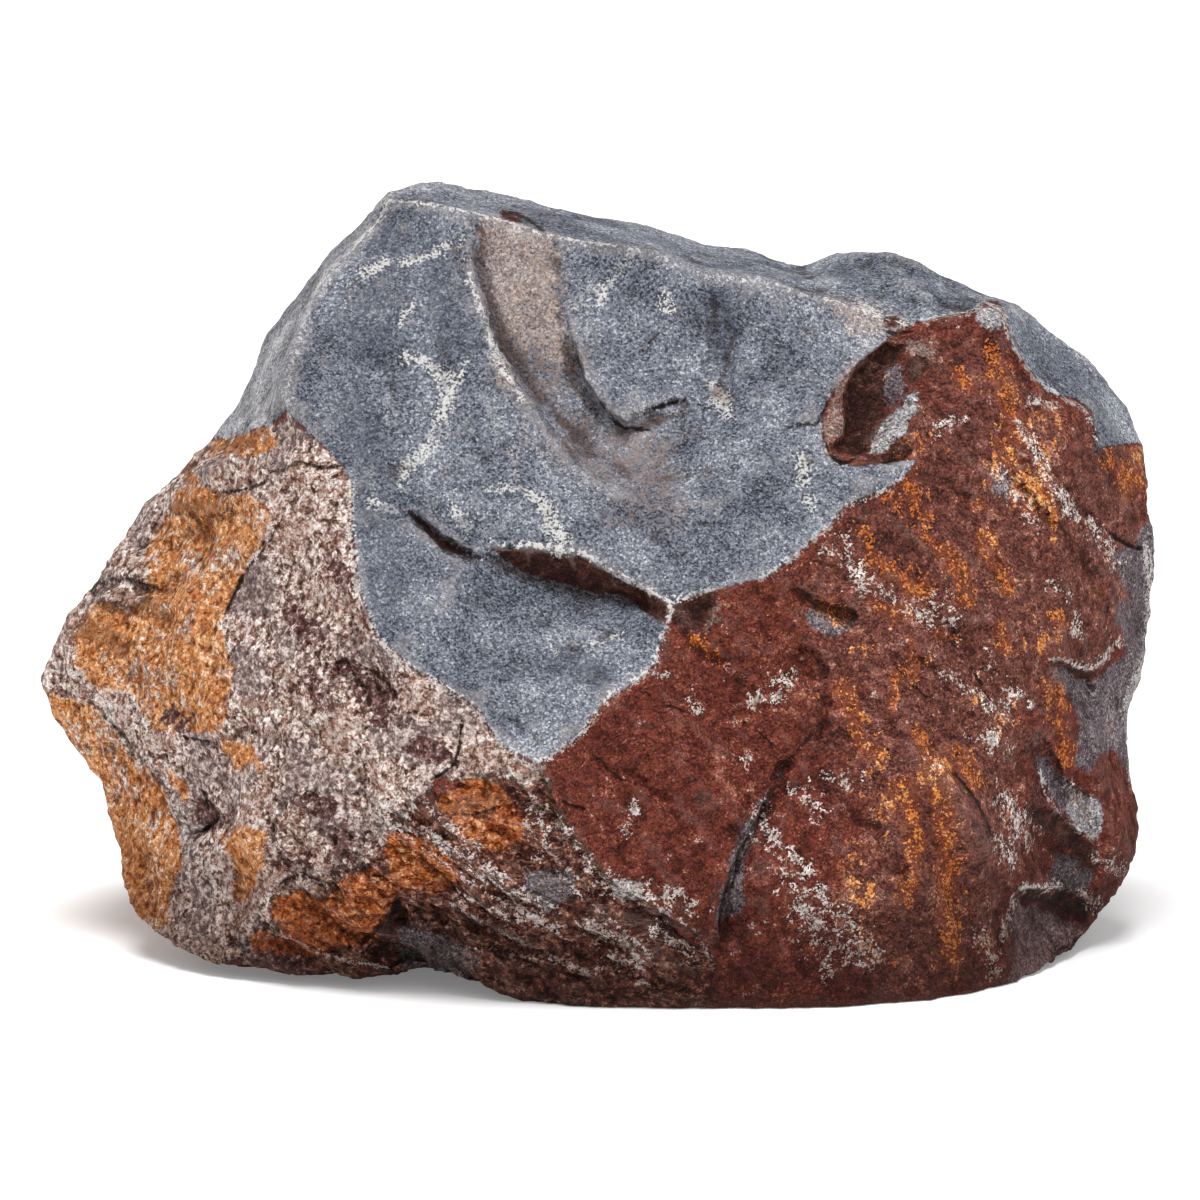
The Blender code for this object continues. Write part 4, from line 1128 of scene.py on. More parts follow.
def cut_foot(made):
    """Cuts the stone off flat at height 0 and closes the cut."""
    shape = bmesh.new()
    shape.from_mesh(made.data)
    everything = shape.verts[:] + shape.edges[:] + shape.faces[:]
    bmesh.ops.bisect_plane(
        shape, geom=everything, dist=1e-6, clear_inner=True, plane_co=(0, 0, 0), plane_no=(0, 0, 1)
    )
    open_edges = [edge for edge in shape.edges if edge.is_boundary]
    bmesh.ops.triangle_fill(shape, edges=open_edges, use_beauty=True, normal=(0, 0, -1))
    bmesh.ops.recalc_face_normals(shape, faces=shape.faces)
    bmesh.ops.triangulate(shape, faces=shape.faces)
    shape.to_mesh(made.data)
    shape.free()


def mesh_points(made):
    values = np.empty(len(made.data.vertices) * 3, np.float32)
    made.data.vertices.foreach_get("co", values)
    return values.reshape(-1, 3).astype(float)


triangles = sum(len(face.vertices) - 2 for face in rock.data.polygons)
apply_modifier(rock, "DECIMATE", ratio=min(1, MOST_TRIANGLES / triangles))
cut_foot(rock)
placed = mesh_points(rock)
shift = (cad_low + cad_high - placed.min(axis=0) - placed.max(axis=0)) / 2
shift[2] = cad_low[2] - placed[:, 2].min()
placed += shift
rock.data.vertices.foreach_set("co", placed.astype(np.float32).ravel())
rock.data.shade_smooth()
rock.data.set_sharp_from_angle(angle=SHARP_ANGLE)
rock.data.update()
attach(rock, "root")
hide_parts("rock")
print(len(rock.data.polygons), "triangles, moved by", (shift / MM).round(1), "mm")
print("finished at", round(time.time() - started, 1), "s")

# %% [markdown]
# ## Spots, streaks and veins
#
# On top of the zones lie small things with places of their own: dry white crusts of lichen, rust that
# ran down the red crust, white mineral veins in the fresh face, and the white bruise along an arris where
# the stone was struck. Each is a half width and a line on the sheet; a round spot is a very short line.
# The lines only say where such things are frequent. The shader breaks them up into grains.

# %% Streaks: (half width, line), all in squares of the sheet
LICHENS = [
    (15, [(848, 545), (855, 565), (866, 592)]),
    (9, [(826, 552), (842, 548)]),
    (10, [(880, 590), (905, 604), (930, 620)]),
    (16, [(936, 614), (956, 626)]),
    (8, [(1056, 588), (1068, 596)]),
    (7, [(1077, 612), (1080, 636)]),
    (9, [(985, 654), (996, 676)]),
    (9, [(945, 675), (975, 694)]),
    (14, [(976, 694), (1000, 710)]),
    (7, [(1008, 694), (1024, 700)]),
    (12, [(1002, 474), (1014, 490), (1030, 512)]),
    (7, [(1030, 520), (1040, 530)]),
    (8, [(1014, 420), (1030, 440), (1048, 466)]),
    (9, [(1040, 470), (1062, 496), (1098, 536), (1118, 566)]),
    (7, [(939, 431), (958, 418)]),
    (10, [(932, 764), (933, 765)]),
    (12, [(980, 735), (1008, 752)]),
    (14, [(1008, 800), (1024, 836)]),
    (10, [(998, 842), (1012, 862)]),
    (9, [(742, 764), (743, 766)]),
    (8, [(820, 776), (856, 778)]),
    (11, [(780, 786), (818, 806)]),
    (9, [(634, 806), (628, 824)]),
    (12, [(758, 812), (772, 850), (792, 884), (806, 930), (830, 968)]),
    (12, [(792, 850), (812, 884), (838, 930), (858, 965)]),
    (14, [(806, 900), (824, 950)]),
    (14, [(845, 918), (872, 955)]),
    (10, [(984, 936), (994, 968)]),
    (12, [(596, 880), (630, 890), (664, 896), (690, 905)]),
    (10, [(590, 920), (620, 940), (640, 966)]),
    (9, [(660, 930), (690, 955)]),
    (8, [(560, 820), (585, 862), (612, 880)]),
    (8, [(690, 700), (700, 712)]),
    (14, [(760, 700), (790, 680)]),
    (7, [(1097, 658), (1122, 642)]),
    (10, [(1072, 790), (1090, 822)]),
    (6, [(420, 800), (450, 826), (480, 846)]),
    (7, [(455, 896), (500, 915), (560, 930)]),
    (6, [(480, 950), (540, 960), (600, 975)]),
    (12, [(186, 556), (205, 572), (236, 562)]),
    (9, [(206, 588), (222, 604)]),
    (8, [(100, 650), (126, 690), (150, 724)]),
    (9, [(76, 672), (104, 704), (133, 745), (163, 778), (186, 820), (188, 850)]),
    (12, [(202, 850), (212, 900)]),
    (9, [(380, 822), (402, 827), (434, 838), (462, 857), (501, 881), (540, 913)]),
    (9, [(586, 925), (606, 938), (618, 945)]),
    (8, [(610, 958), (630, 972), (648, 980)]),
    (8, [(531, 800), (545, 830), (538, 856)]),
    (7, [(1004, 940), (1008, 916), (1014, 903)]),
    (8, [(1026, 888), (1056, 886)]),
    (8, [(1084, 898), (1096, 906)]),
    (9, [(1098, 852), (1112, 864), (1120, 872)]),
    (8, [(300, 800), (350, 812), (390, 806)]),
]
RUSTS = [
    (13, [(905, 480), (915, 496), (926, 514)]),
    (8, [(886, 501), (895, 509)]),
    (7, [(915, 528), (922, 534)]),
    (10, [(864, 532), (880, 560)]),
    (14, [(876, 560), (900, 572), (922, 588)]),
    (8, [(931, 541), (948, 549)]),
    (7, [(966, 498), (975, 506)]),
    (12, [(952, 560), (966, 598)]),
    (9, [(980, 535), (988, 556)]),
    (9, [(998, 566), (1010, 594)]),
    (10, [(990, 338), (1004, 366)]),
    (11, [(996, 374), (1008, 400), (1012, 432)]),
    (9, [(1002, 443), (1012, 466)]),
    (9, [(958, 374), (972, 390)]),
    (9, [(1028, 490), (1042, 510)]),
    (9, [(872, 602), (896, 616)]),
    (8, [(942, 632), (954, 640)]),
    (6, [(910, 640), (914, 684)]),
    (6, [(898, 670), (892, 712)]),
    (10, [(1050, 686), (1066, 704)]),
    (7, [(1055, 616), (1066, 622)]),
    (12, [(1108, 458), (1122, 470), (1130, 492)]),
    (12, [(960, 754), (974, 782)]),
    (14, [(940, 800), (950, 850), (948, 900), (956, 955)]),
    (10, [(1056, 715), (1068, 764)]),
    (9, [(850, 730), (868, 752)]),
    (8, [(830, 604), (842, 618)]),
    (10, [(920, 735), (930, 770)]),
    (12, [(905, 790), (915, 850), (905, 900)]),
    (8, [(700, 640), (720, 660)]),
    (6, [(600, 700), (590, 720)]),
    (8, [(1000, 620), (1010, 650)]),
    (7, [(840, 690), (850, 710)]),
]
MAUVES = [
    (26, [(350, 672), (380, 706)]),
    (13, [(334, 562), (344, 582)]),
    (16, [(294, 612), (312, 636)]),
    (14, [(312, 684), (326, 704)]),
    (20, [(342, 842), (350, 860)]),
    (14, [(288, 854), (304, 862)]),
    (12, [(172, 716), (178, 724)]),
    (12, [(300, 800), (330, 806)]),
    (13, [(420, 746), (440, 752)]),
    (14, [(262, 960), (300, 966)]),
    (14, [(206, 806), (212, 820)]),
]
# Brown stains, and painted shade under the two ledges at the left end: the first and the fourth streak.
BROWN_STAINS_AND_SHADES = [
    (18, [(110, 606), (150, 606)]),
    (20, [(84, 630), (120, 650)]),
    (13, [(226, 446), (262, 438)]),
    (14, [(180, 508), (220, 506)]),
    (8, [(236, 700), (262, 704)]),
    (10, [(450, 806), (500, 802)]),
    (8, [(185, 462), (190, 484)]),
]
# Painted shade in blue: the left of the fresh face beside the scoop, the valley in the scoop and the facet
# under the long ledge.
BLUE_SHADE_STREAKS = [
    (55, [(385, 240), (370, 330)]),
    (48, [(372, 515), (394, 600)]),
    (40, [(420, 250), (455, 340)]),
    (34, [(345, 400), (370, 460)]),
    (26, [(560, 655), (600, 680)]),
    (22, [(720, 300), (728, 370)]),
]
VEINS = [
    (4.0, [(348, 284), (362, 272), (391, 260)]),
    (4.5, [(405, 262), (422, 256), (436, 250), (451, 245)]),
    (4.0, [(398, 322), (410, 306), (419, 300)]),
    (8.0, [(408, 356), (426, 364), (441, 372), (452, 388)]),
    (
        6.5,
        [(452, 388), (448, 402), (438, 420), (434, 440), (424, 456), (408, 468), (402, 486)],
    ),
    (4.0, [(452, 388), (462, 372), (468, 360)]),
    (4.5, [(512, 446), (514, 462), (518, 476)]),
    (4.5, [(491, 488), (510, 484), (530, 492)]),
    (8.5, [(541, 500), (548, 516), (552, 530)]),
    (7.0, [(552, 530), (566, 540), (562, 552)]),
    (7.0, [(454, 510), (462, 520), (467, 530)]),
    (6.5, [(634, 251), (619, 272), (608, 289), (596, 308)]),
    (5.0, [(575, 308), (584, 298), (594, 288)]),
    (6.5, [(666, 296), (672, 308)]),
    (6.0, [(712, 384), (722, 398)]),
    (7.0, [(716, 404), (724, 416)]),
    (8.0, [(800, 458), (806, 470), (800, 486)]),
    (5.0, [(806, 494), (812, 504)]),
    (3.6, [(586, 648), (602, 640), (619, 630)]),
    (4.0, [(554, 646), (558, 656)]),
    (4.0, [(652, 672), (668, 678)]),
    (4.0, [(1030, 400), (1060, 408)]),
    (4.5, [(372, 505), (392, 512), (404, 524)]),
    (5.0, [(488, 344), (500, 360), (513, 380)]),
    (5.0, [(860, 304), (880, 318)]),
]
LIP = [
    (489, 543), (511, 545), (538, 544), (550, 550), (574, 551), (588, 556), (601, 564), (615, 574),
    (629, 581), (654, 593), (672, 602), (690, 596), (715, 588),
]
SCOOP_BRUISE = [
    (463, 238), (467, 270), (478, 302), (487, 322), (491, 341), (500, 357), (512, 381), (528, 408),
]
FACE_FOOT = [(760, 579), (800, 552), (827, 528), (848, 504), (891, 487), (908, 468)]
FACET_EDGE = [(670, 607), (663, 639), (654, 666), (629, 687), (608, 698), (579, 737), (540, 764)]
RIGHT_RIM = [
    (1146, 545), (1150, 580), (1150, 615), (1146, 650), (1137, 680), (1127, 704), (1128, 732),
    (1134, 753), (1132, 781),
]
RIB_RIM = [(1040, 770), (1046, 792), (1056, 810), (1068, 824), (1084, 836)]
FACET_LEFT = [
    (350, 484), (350, 527), (357, 591), (375, 636), (404, 665), (440, 685), (478, 712), (504, 750),
    (536, 767),
]
BED_LINES = [
    [(384, 805), (413, 820), (444, 841), (465, 857), (496, 883), (517, 904), (548, 925)],
    [(392, 826), (430, 852), (470, 882), (512, 908), (560, 934)],
    [(470, 850), (506, 876), (546, 902), (590, 930), (626, 950)],
    [(446, 902), (492, 928), (540, 952), (596, 974)],
    [(556, 872), (588, 902), (620, 928), (652, 956)],
    [(520, 820), (548, 850), (580, 880)],
    [(270, 930), (310, 948), (350, 962), (390, 968)],
    [(606, 872), (632, 893), (663, 909), (694, 930), (712, 958)],
]
BRUISES = [
    (1.8, RIDGE),
    (2.6, LEFT_ARRIS[:9]),
    (3.0, TOP_RIGHT_EDGE),
    (3.6, LIP),
    (3.6, SCOOP_BRUISE),
    (4.0, FACE_FOOT),
    (4.0, FACET_EDGE),
    (4.4, FACET_LEFT),
    (6.0, RIGHT_RIM),
    (3.0, RIB_RIM),
    (4.0, [(1048, 661), (1062, 658), (1078, 667), (1092, 668), (1106, 658)]),
    (3.4, [(1020, 888), (1056, 886), (1080, 892), (1094, 902)]),
    (3.4, [(1004, 940), (1008, 916), (1014, 903)]),
    *((2.6, line) for line in BED_LINES),
]
print(len(LICHENS), "lichens,", len(RUSTS), "rust streaks,", len(VEINS), "veins")

# %% [markdown]
# ## Passing the drawing on to the shader
#
# A shader knows nothing of the drawing. What it needs is stored on the mesh instead, as named numbers
# at each point: depths inside the zones, and how near the middle of a streak a point lies. Two soft
# noises, much wider than the mesh's triangles, go the same way, because a stored number costs a render
# almost nothing. Lichen, rust and veins meander, so the place is shaken before their streaks are
# measured. The colours themselves are left to the shader: its grain is much finer than the mesh.

# %% Fields on the mesh
FIELDS = {
    "lichen": LICHENS,
    "rust": RUSTS,
    "brown": BROWN_STAINS_AND_SHADES,
    "mauve": MAUVES,
    "blue": BLUE_SHADE_STREAKS,
    "vein": VEINS,
    "bruise": BRUISES,
    "crack": [(2.6 + width, line) for line, width, _ in CRACKS],
    "ledge": [(3.4, line) for line, step_height, _ in LEDGES if abs(step_height) > 3],
}
MEANDERING = ("lichen", "rust", "vein")
MEANDER_SIZE, MEANDER_MM = 8, 2.6
NOISE_SPREAD = 0.1


def store(name, values):
    layer = rock.data.attributes.new(name, "FLOAT", "POINT")
    layer.data.foreach_set("value", np.asarray(values, np.float32))


def streak_field(across, up, streaks):
    """1 in the middle of a streak, 0 at its half width, and below 0 outside, down to -1."""
    field = np.full(len(across), -1.0)
    for half_width, line in streaks:
        away = line_distance(across, up, on_sheet([place[:2] for place in line]))
        field = np.maximum(field, 1 - away / (half_width * SQUARE_MM))
    return field


def soft_noise(points, size, seed, layers):
    """Soft noise about 0.5 with patches of about this size in millimetres, and finer ones in them."""
    total = sum(0.6**layer * rolling(points / size * 2**layer, seed + layer) for layer in range(layers))
    return 0.5 + NOISE_SPREAD * (total - total.mean()) / total.std()


drawn = (placed - shift) / MM
depths, behind = zone_depths(drawn)
across, up = drawn[:, 0], up_of(drawn[:, 1], drawn[:, 2])
store("clouds", soft_noise(drawn, 22, 201, 4))
store("sway", soft_noise(drawn, 13, 211, 3))
for name, values in depths.items():
    store(name, values)
store("behind", behind)
meander = [MEANDER_MM * rolling(drawn / MEANDER_SIZE, seed) for seed in (401, 402)]
for name, streaks in FIELDS.items():
    aside, upward = meander if name in MEANDERING else (0, 0)
    field = streak_field(across + aside, up + upward, streaks)
    store(name, field * (1 - behind) - behind)
print("fields stored on", len(drawn), "points")

# %% [markdown]
# ## Hollows and ridges
#
# The hollows get painted shade and some dirt, and the ridges are worn lighter. Whether a point lies in a
# hollow shows when
# the mesh is smoothed: the points in hollows are pushed out by it, and those on ridges pulled in. So the
# mesh is smoothed in numbers only, and how far each point would move outwards is kept.

# %% Hollow field
SMOOTHING_ROUNDS = 4


def smoothed(points, ends, rounds):
    count = np.bincount(ends.ravel(), minlength=len(points))[:, None]
    for _ in range(rounds):
        total = np.zeros_like(points)
        for axis in range(3):
            total[:, axis] += np.bincount(ends[:, 0], points[ends[:, 1], axis], len(points))
            total[:, axis] += np.bincount(ends[:, 1], points[ends[:, 0], axis], len(points))
        points = total / count
    return points


ends = np.empty(len(rock.data.edges) * 2, np.int32)
rock.data.edges.foreach_get("vertices", ends)
normals = np.empty(len(placed) * 3, np.float32)
rock.data.vertex_normals.foreach_get("vector", normals)
pushed = smoothed(placed, ends.reshape(-1, 2), SMOOTHING_ROUNDS) - placed
hollow = (pushed * normals.reshape(-1, 3)).sum(axis=1) / MM
store("hollow", hollow)
print("hollow from", hollow.min().round(2), "to", hollow.max().round(2), "mm")

# %% [markdown]
# ## Writing a shader as sums
#
# A shader is a net of nodes, and wiring it by hand hides what it works out. So one small class wraps an
# output socket, and arithmetic on it adds the Math nodes. Masks are plain numbers and can be written as
# sums. Colours can't, because a Math node turns a colour grey, so they go through Mix and Vector Math.

# %% Wires
class Wire:
    """An output socket. Arithmetic on it adds Math nodes to the same tree."""

    tree = None

    def __init__(self, socket):
        self.socket = socket

    @classmethod
    def node(cls, kind, settings, sockets, output=0):
        """Adds a node: first its settings, then the values or links of its sockets."""
        made = cls.tree.nodes.new(kind)
        for name, value in settings.items():
            if name == "stops":
                first, last = made.color_ramp.elements
                first.position, first.color = value[0]
                last.position, last.color = value[-1]
                for position, colour in value[1:-1]:
                    made.color_ramp.elements.new(position).color = colour
            else:
                setattr(made, name, value)
        for name, value in sockets.items():
            if isinstance(value, Wire):
                cls.tree.links.new(value.socket, made.inputs[name])
            else:
                made.inputs[name].default_value = value
        return cls(made.outputs[output])

    @classmethod
    def math(cls, operation, *values, clamp=False):
        settings = {"operation": operation, "use_clamp": clamp}
        return cls.node("ShaderNodeMath", settings, dict(enumerate(values)))

    def __add__(self, other):
        return Wire.math("ADD", self, other)

    def __sub__(self, other):
        return Wire.math("SUBTRACT", self, other)

    def __rsub__(self, other):
        return Wire.math("SUBTRACT", other, self)

    def __mul__(self, other):
        return Wire.math("MULTIPLY", self, other)

    def __truediv__(self, other):
        return Wire.math("DIVIDE", self, other)

    __radd__, __rmul__ = __add__, __mul__

    def clipped(self):
        """Kept between 0 and 1."""
        return Wire.math("ADD", self, 0.0, clamp=True)

    def above(self, low, high):
        """0 below low, 1 above high and smooth in between."""
        sockets = {"Value": self, "From Min": low, "From Max": high}
        return Wire.node("ShaderNodeMapRange", {"interpolation_type": "SMOOTHSTEP"}, sockets)


def vector_math(operation, *values, output=0):
    return Wire.node("ShaderNodeVectorMath", {"operation": operation}, dict(enumerate(values)), output)


MIX_FACTOR, MIX_A, MIX_B, MIX_COLOUR_OUT = 0, 6, 7, 2


def mix(amount, under, over, blend="MIX"):
    """The colour over laid on the colour under, as much as amount says."""
    settings = {"data_type": "RGBA", "blend_type": blend}
    sockets = {MIX_FACTOR: amount, MIX_A: under, MIX_B: over}
    return Wire.node("ShaderNodeMix", settings, sockets, MIX_COLOUR_OUT)


def tint(red, green, blue):
    """A colour given from 0 to 255, as a screen shows it, in the linear values of a shader."""
    def linear(value):
        value = value / 255
        return value / 12.92 if value <= 0.04045 else ((value + 0.055) / 1.055) ** 2.4

    return linear(red), linear(green), linear(blue), 1.0


stone = bpy.data.materials.new("weathered_stone")
stone.use_nodes = True
Wire.tree = stone.node_tree
shader = stone.node_tree.nodes["Principled BSDF"]
print("a middle grey is", round(tint(128, 128, 128)[0], 3), "in a shader")

# %% [markdown]
# ## Grains
#
# The stone is made of crystals about a millimetre wide, and each has its own shade. A Voronoi texture
# gives just that: cells with one random number each, and the distance to a cell's middle, which makes a
# rounded grain. Textures are what a render spends its time on, and a Bump node asks for each of them
# three times. So there are few of them, and each is used for several things.

# %% Grain patterns
place = Wire.node("ShaderNodeTexCoord", {}, {}, "Object")
moved_place = vector_math("ADD", place, (3.1, 1.7, 5.3))


def cells(size, where=place):
    """Cells of about this size in millimetres: a random number for each, and 1 in its middle."""
    sockets = {"Vector": where, "Scale": 1 / (size * MM)}
    colour = Wire.node("ShaderNodeTexVoronoi", {}, sockets, "Color")
    number = Wire.node("ShaderNodeSeparateColor", {}, {"Color": colour})
    return number, 1 - Wire(colour.socket.node.outputs["Distance"])


def noise(size, where=place, detail=2.0, rough=0.5):
    """Soft noise about 0.5, with patches of about this size in millimetres."""
    sockets = {"Vector": where, "Scale": 1 / (size * MM), "Detail": detail, "Roughness": rough}
    return Wire.node("ShaderNodeTexNoise", {}, sockets)


def stored(name):
    return Wire.node("ShaderNodeAttribute", {"attribute_name": name}, {}, "Fac")


def scaled(vector, amount):
    return Wire.node("ShaderNodeVectorMath", {"operation": "SCALE"}, {0: vector, "Scale": amount})


def squeezed(axis, squeeze):
    """The place with one direction squeezed, so that patterns on it are streaked along it."""
    along = vector_math("DOT_PRODUCT", place, axis, output="Value")
    return vector_math("SUBTRACT", place, scaled(axis, along * squeeze))


fine_cells, fine_domes = cells(1.05)
tiny_cells, _ = cells(0.7, moved_place)
coarse_cells, coarse_domes = cells(2.3, moved_place)
grouping = noise(3.6, detail=2.0, rough=0.6)
fray = noise(3.0, moved_place, detail=3.0, rough=0.7)
lace = noise(5.5, detail=4.0, rough=0.62)
drips = noise(4.0, squeezed((0.12, 0, -0.993), 0.7), detail=2.0, rough=0.65)
clouds = stored("clouds")
sway = stored("sway")
wide_fray = 0.5 + 0.8 * (sway - 0.5) + 0.5 * (fray - 0.5)
web = 1 - 4 * Wire.math("ABSOLUTE", fray - 0.5)
print(len(stone.node_tree.nodes), "nodes")

# %% [markdown]
# ## Masks of the kinds of stone, and the way they split
#
# Each border is a depth inside a zone, shaken by noise. A clean break has a crisp border, while a stain
# creeps grain by grain, so its noise is larger. The masks also say how the stone splits: the red crust
# in plates along the grain, the umber hollows in flat layers, and the rest in no direction. Squeezing
# the place along that direction lets one texture serve all of them.

# %% Masks and grain direction
def inside(name, jitter, soft, pattern=fray):
    """A mask of a zone. The border is shaken by jitter and blurred over soft, both in millimetres."""
    return (stored(name) + (pattern - 0.5) * (2 * jitter)).above(-soft, soft)


fresh_patch = inside("fresh", 2.6, 0.6)
umber_patch = inside("umber", 14, 1.5, wide_fray)
clay_patch = inside("clay", 9, 1.2, wide_fray)
pale_patch = inside("pale", 12, 1.2, wide_fray)
orange_patch = inside("orange", 10, 1.0, wide_fray)
outside_face = 1 - fresh_patch
layered_patch = (umber_patch + clay_patch).clipped() * outside_face
eaten_patch = (pale_patch + orange_patch).clipped() * (1 - layered_patch) * outside_face
crust_patch = (outside_face - layered_patch - eaten_patch).clipped()
split_axis = mix(layered_patch, (*GRAIN_AXIS, 1), (*BED_AXIS, 1))
split_place = squeezed(split_axis, 0.78 * crust_patch + 0.86 * layered_patch + 0.1 * eaten_patch)
push = scaled((0.012, -0.008, 0.007), clouds - 0.5)
push = vector_math("ADD", push, scaled((-0.007, 0.012, 0.009), sway - 0.5))
plates, _ = cells(3.8, vector_math("ADD", split_place, push))
streaks = noise(5.5, split_place, detail=2.0, rough=0.65)


def hairlines(pattern, half_width, level=0.5):
    """Thin wandering lines, 1 where a pattern passes a level: cracks too fine to draw."""
    return 1 - Wire.math("ABSOLUTE", pattern - level).above(0, half_width)


mottle = 0.3 * (grouping - 0.5) + 0.8 * (clouds - 0.5)
fine_grain = 0.5 * fine_cells + 0.38 * tiny_cells + mottle + 0.03
coarse_grain = 0.46 * coarse_cells + 0.38 * fine_cells + 1.2 * (grouping - 0.5) + 0.08
coarse_grain = coarse_grain + 0.6 * (clouds - 0.5)
crust_grain = 0.38 * fine_cells + 0.28 * tiny_cells + 0.18 * plates + 0.7 * (streaks - 0.5)
crust_grain = crust_grain + 0.7 * (clouds - 0.5) + 0.04
splits = hairlines(streaks, 0.022) * clouds.above(0.4, 0.55) * outside_face
hairline_patch = (splits + hairlines(lace, 0.018) * wide_fray.above(0.46, 0.58) * outside_face).clipped()
bed_lines = hairlines(streaks, 0.02, 0.59) * layered_patch
pits = fray.above(0.62, 0.7) * outside_face
print(len(stone.node_tree.nodes), "nodes after the masks")

# %% [markdown]
# ## Minerals
#
# Each kind of stone is a ramp from its darkest minerals to its lightest. The fresh face is blue-grey
# with white feldspar and dark mica. The pale face has larger, pinkish white grains with brown between
# them. The stains are nearly one hue, because iron has coated all grains alike.

# %% Ramps of minerals
def minerals(grain, *colours):
    """Turns a grain number into the colours of a kind of stone, from its darkest grains to its lightest."""
    places = (0.05, 0.27, 0.5, 0.73, 0.95)
    stops = [(place, tint(*colour)) for place, colour in zip(places, colours)]
    return Wire.node("ShaderNodeValToRGB", {"stops": stops}, {"Fac": grain})


MINERALS = {
    "fresh": (fine_grain, (28, 31, 40), (70, 74, 85), (108, 112, 123), (138, 142, 151), (202, 204, 209)),
    "frost": (fine_grain, (54, 54, 60), (108, 108, 114), (152, 152, 156), (190, 189, 192), (236, 235, 235)),
    "pale": (coarse_grain, (40, 22, 17), (108, 76, 66), (176, 148, 136), (240, 221, 211), (255, 252, 249)),
    "orange": (coarse_grain, (104, 50, 20), (162, 94, 48), (200, 132, 80), (224, 163, 110), (246, 214, 182)),
    "clay": (coarse_grain, (52, 20, 7), (112, 50, 18), (164, 82, 34), (196, 116, 60), (228, 182, 144)),
    "red": (crust_grain, (36, 13, 9), (76, 33, 25), (108, 50, 38), (134, 70, 54), (184, 128, 110)),
    "wine": (crust_grain, (36, 17, 16), (78, 42, 36), (114, 66, 56), (144, 94, 80), (198, 160, 146)),
    "umber": (coarse_grain, (24, 9, 6), (62, 28, 20), (98, 54, 41), (136, 88, 72), (192, 158, 143)),
    "slate": (fine_grain, (34, 28, 31), (72, 63, 68), (104, 94, 99), (138, 129, 133), (196, 190, 192)),
    "lit": (fine_grain, (62, 52, 54), (112, 99, 101), (152, 137, 139), (184, 170, 171), (226, 218, 218)),
    "chip": (fine_grain, (70, 68, 72), (124, 121, 124), (164, 160, 162), (198, 194, 194), (238, 236, 234)),
    "earth": (crust_grain, (26, 12, 10), (50, 27, 22), (76, 45, 37), (100, 64, 55), (144, 110, 100)),
    "mauve": (coarse_grain, (40, 20, 20), (74, 44, 42), (98, 64, 60), (150, 118, 110), (232, 216, 208)),
    "lichen": (
        coarse_grain, (128, 108, 100), (172, 156, 147), (204, 192, 184), (226, 217, 211), (246, 243, 240),
    ),
    "beige": (fine_grain, (84, 72, 68), (126, 110, 103), (160, 142, 133), (190, 171, 160), (236, 222, 212)),
    "rust": (fine_grain, (116, 46, 16), (172, 80, 28), (208, 114, 42), (230, 148, 70), (246, 200, 142)),
}
kinds = {name: minerals(grain, *colours) for name, (grain, *colours) in MINERALS.items()}
# painted shade in the hollows, with some dirt
HOLLOW_DIRT_AND_SHADE = tint(150, 128, 118)
FOOT_DARKENING = tint(140, 122, 116)
# painted shade for the cracks, under the ledges, in the hair cracks and in the pits
CREVICE_SHADE = tint(34, 18, 13)
VEIN_WHITE = tint(216, 213, 207)
BRUISE_WHITE = tint(228, 222, 218)
BED_PALE = tint(186, 160, 148)
FACE_WARMTH = tint(122, 104, 97)
PALE_BROWN = tint(142, 92, 72)
PALE_GREY = tint(128, 124, 128)
RUST_STAIN = tint(144, 68, 30)
BROWN_STAIN_AND_SHADE = tint(122, 76, 50)
PAINTED_BLUE_SHADE = tint(56, 60, 74)
RUBBED = tint(206, 196, 190)
print("minerals for", len(MINERALS), "kinds of stone")

# %% [markdown]
# ## Laying the kinds over each other
#
# The order follows what happened to the stone: the red crust lies under all, the stains crept over it,
# and the fresh break came last. What is still small and bright, a pale rim or a splinter of clean stone
# in a hollow, is laid on top of that.

# %% Base colour
wine_patch = inside("wine", 50, 14, wide_fray)
colour = mix(wine_patch * 0.85, kinds["red"], kinds["wine"])
colour = mix(umber_patch, colour, kinds["umber"])
slate_patch = inside("slate", 7, 1.2, wide_fray)
colour = mix(slate_patch * 0.92, colour, kinds["slate"])
lit_patch = inside("lit slate", 10, 2.0, wide_fray)
colour = mix(lit_patch * (0.45 + 0.4 * coarse_cells), colour, kinds["lit"])
pale_colour = mix(clouds.above(0.5, 0.62) * 0.4, kinds["pale"], PALE_BROWN)
pale_colour = mix((1 - clouds).above(0.5, 0.62) * 0.3, pale_colour, PALE_GREY)
colour = mix(pale_patch, colour, pale_colour)
colour = mix(clay_patch, colour, kinds["clay"])
white_rests = (wide_fray + 0.6 * (grouping - 0.5)).above(0.6, 0.66)
colour = mix(orange_patch * (1 - 0.8 * white_rests), colour, kinds["orange"])
colour = mix(fresh_patch, colour, kinds["fresh"])
# a lighter copy of the fresh stone where it faces up to the light, partly painted light
frost_and_light_patch = inside("frost", 14, 5, wide_fray) * fresh_patch
colour = mix(frost_and_light_patch, colour, kinds["frost"])
warm_patch = inside("warm", 30, 12, wide_fray) * fresh_patch
warm_grain = (0.5 * coarse_cells + 0.5 * fine_cells + 1.2 * (lace - 0.5)).above(0.4, 0.6)
colour = mix(warm_patch * (0.15 + 0.6 * warm_grain), colour, FACE_WARMTH)
beige_patch = inside("beige", 14, 2.5)
colour = mix(beige_patch * (0.4 + 0.35 * coarse_cells), colour, kinds["beige"])
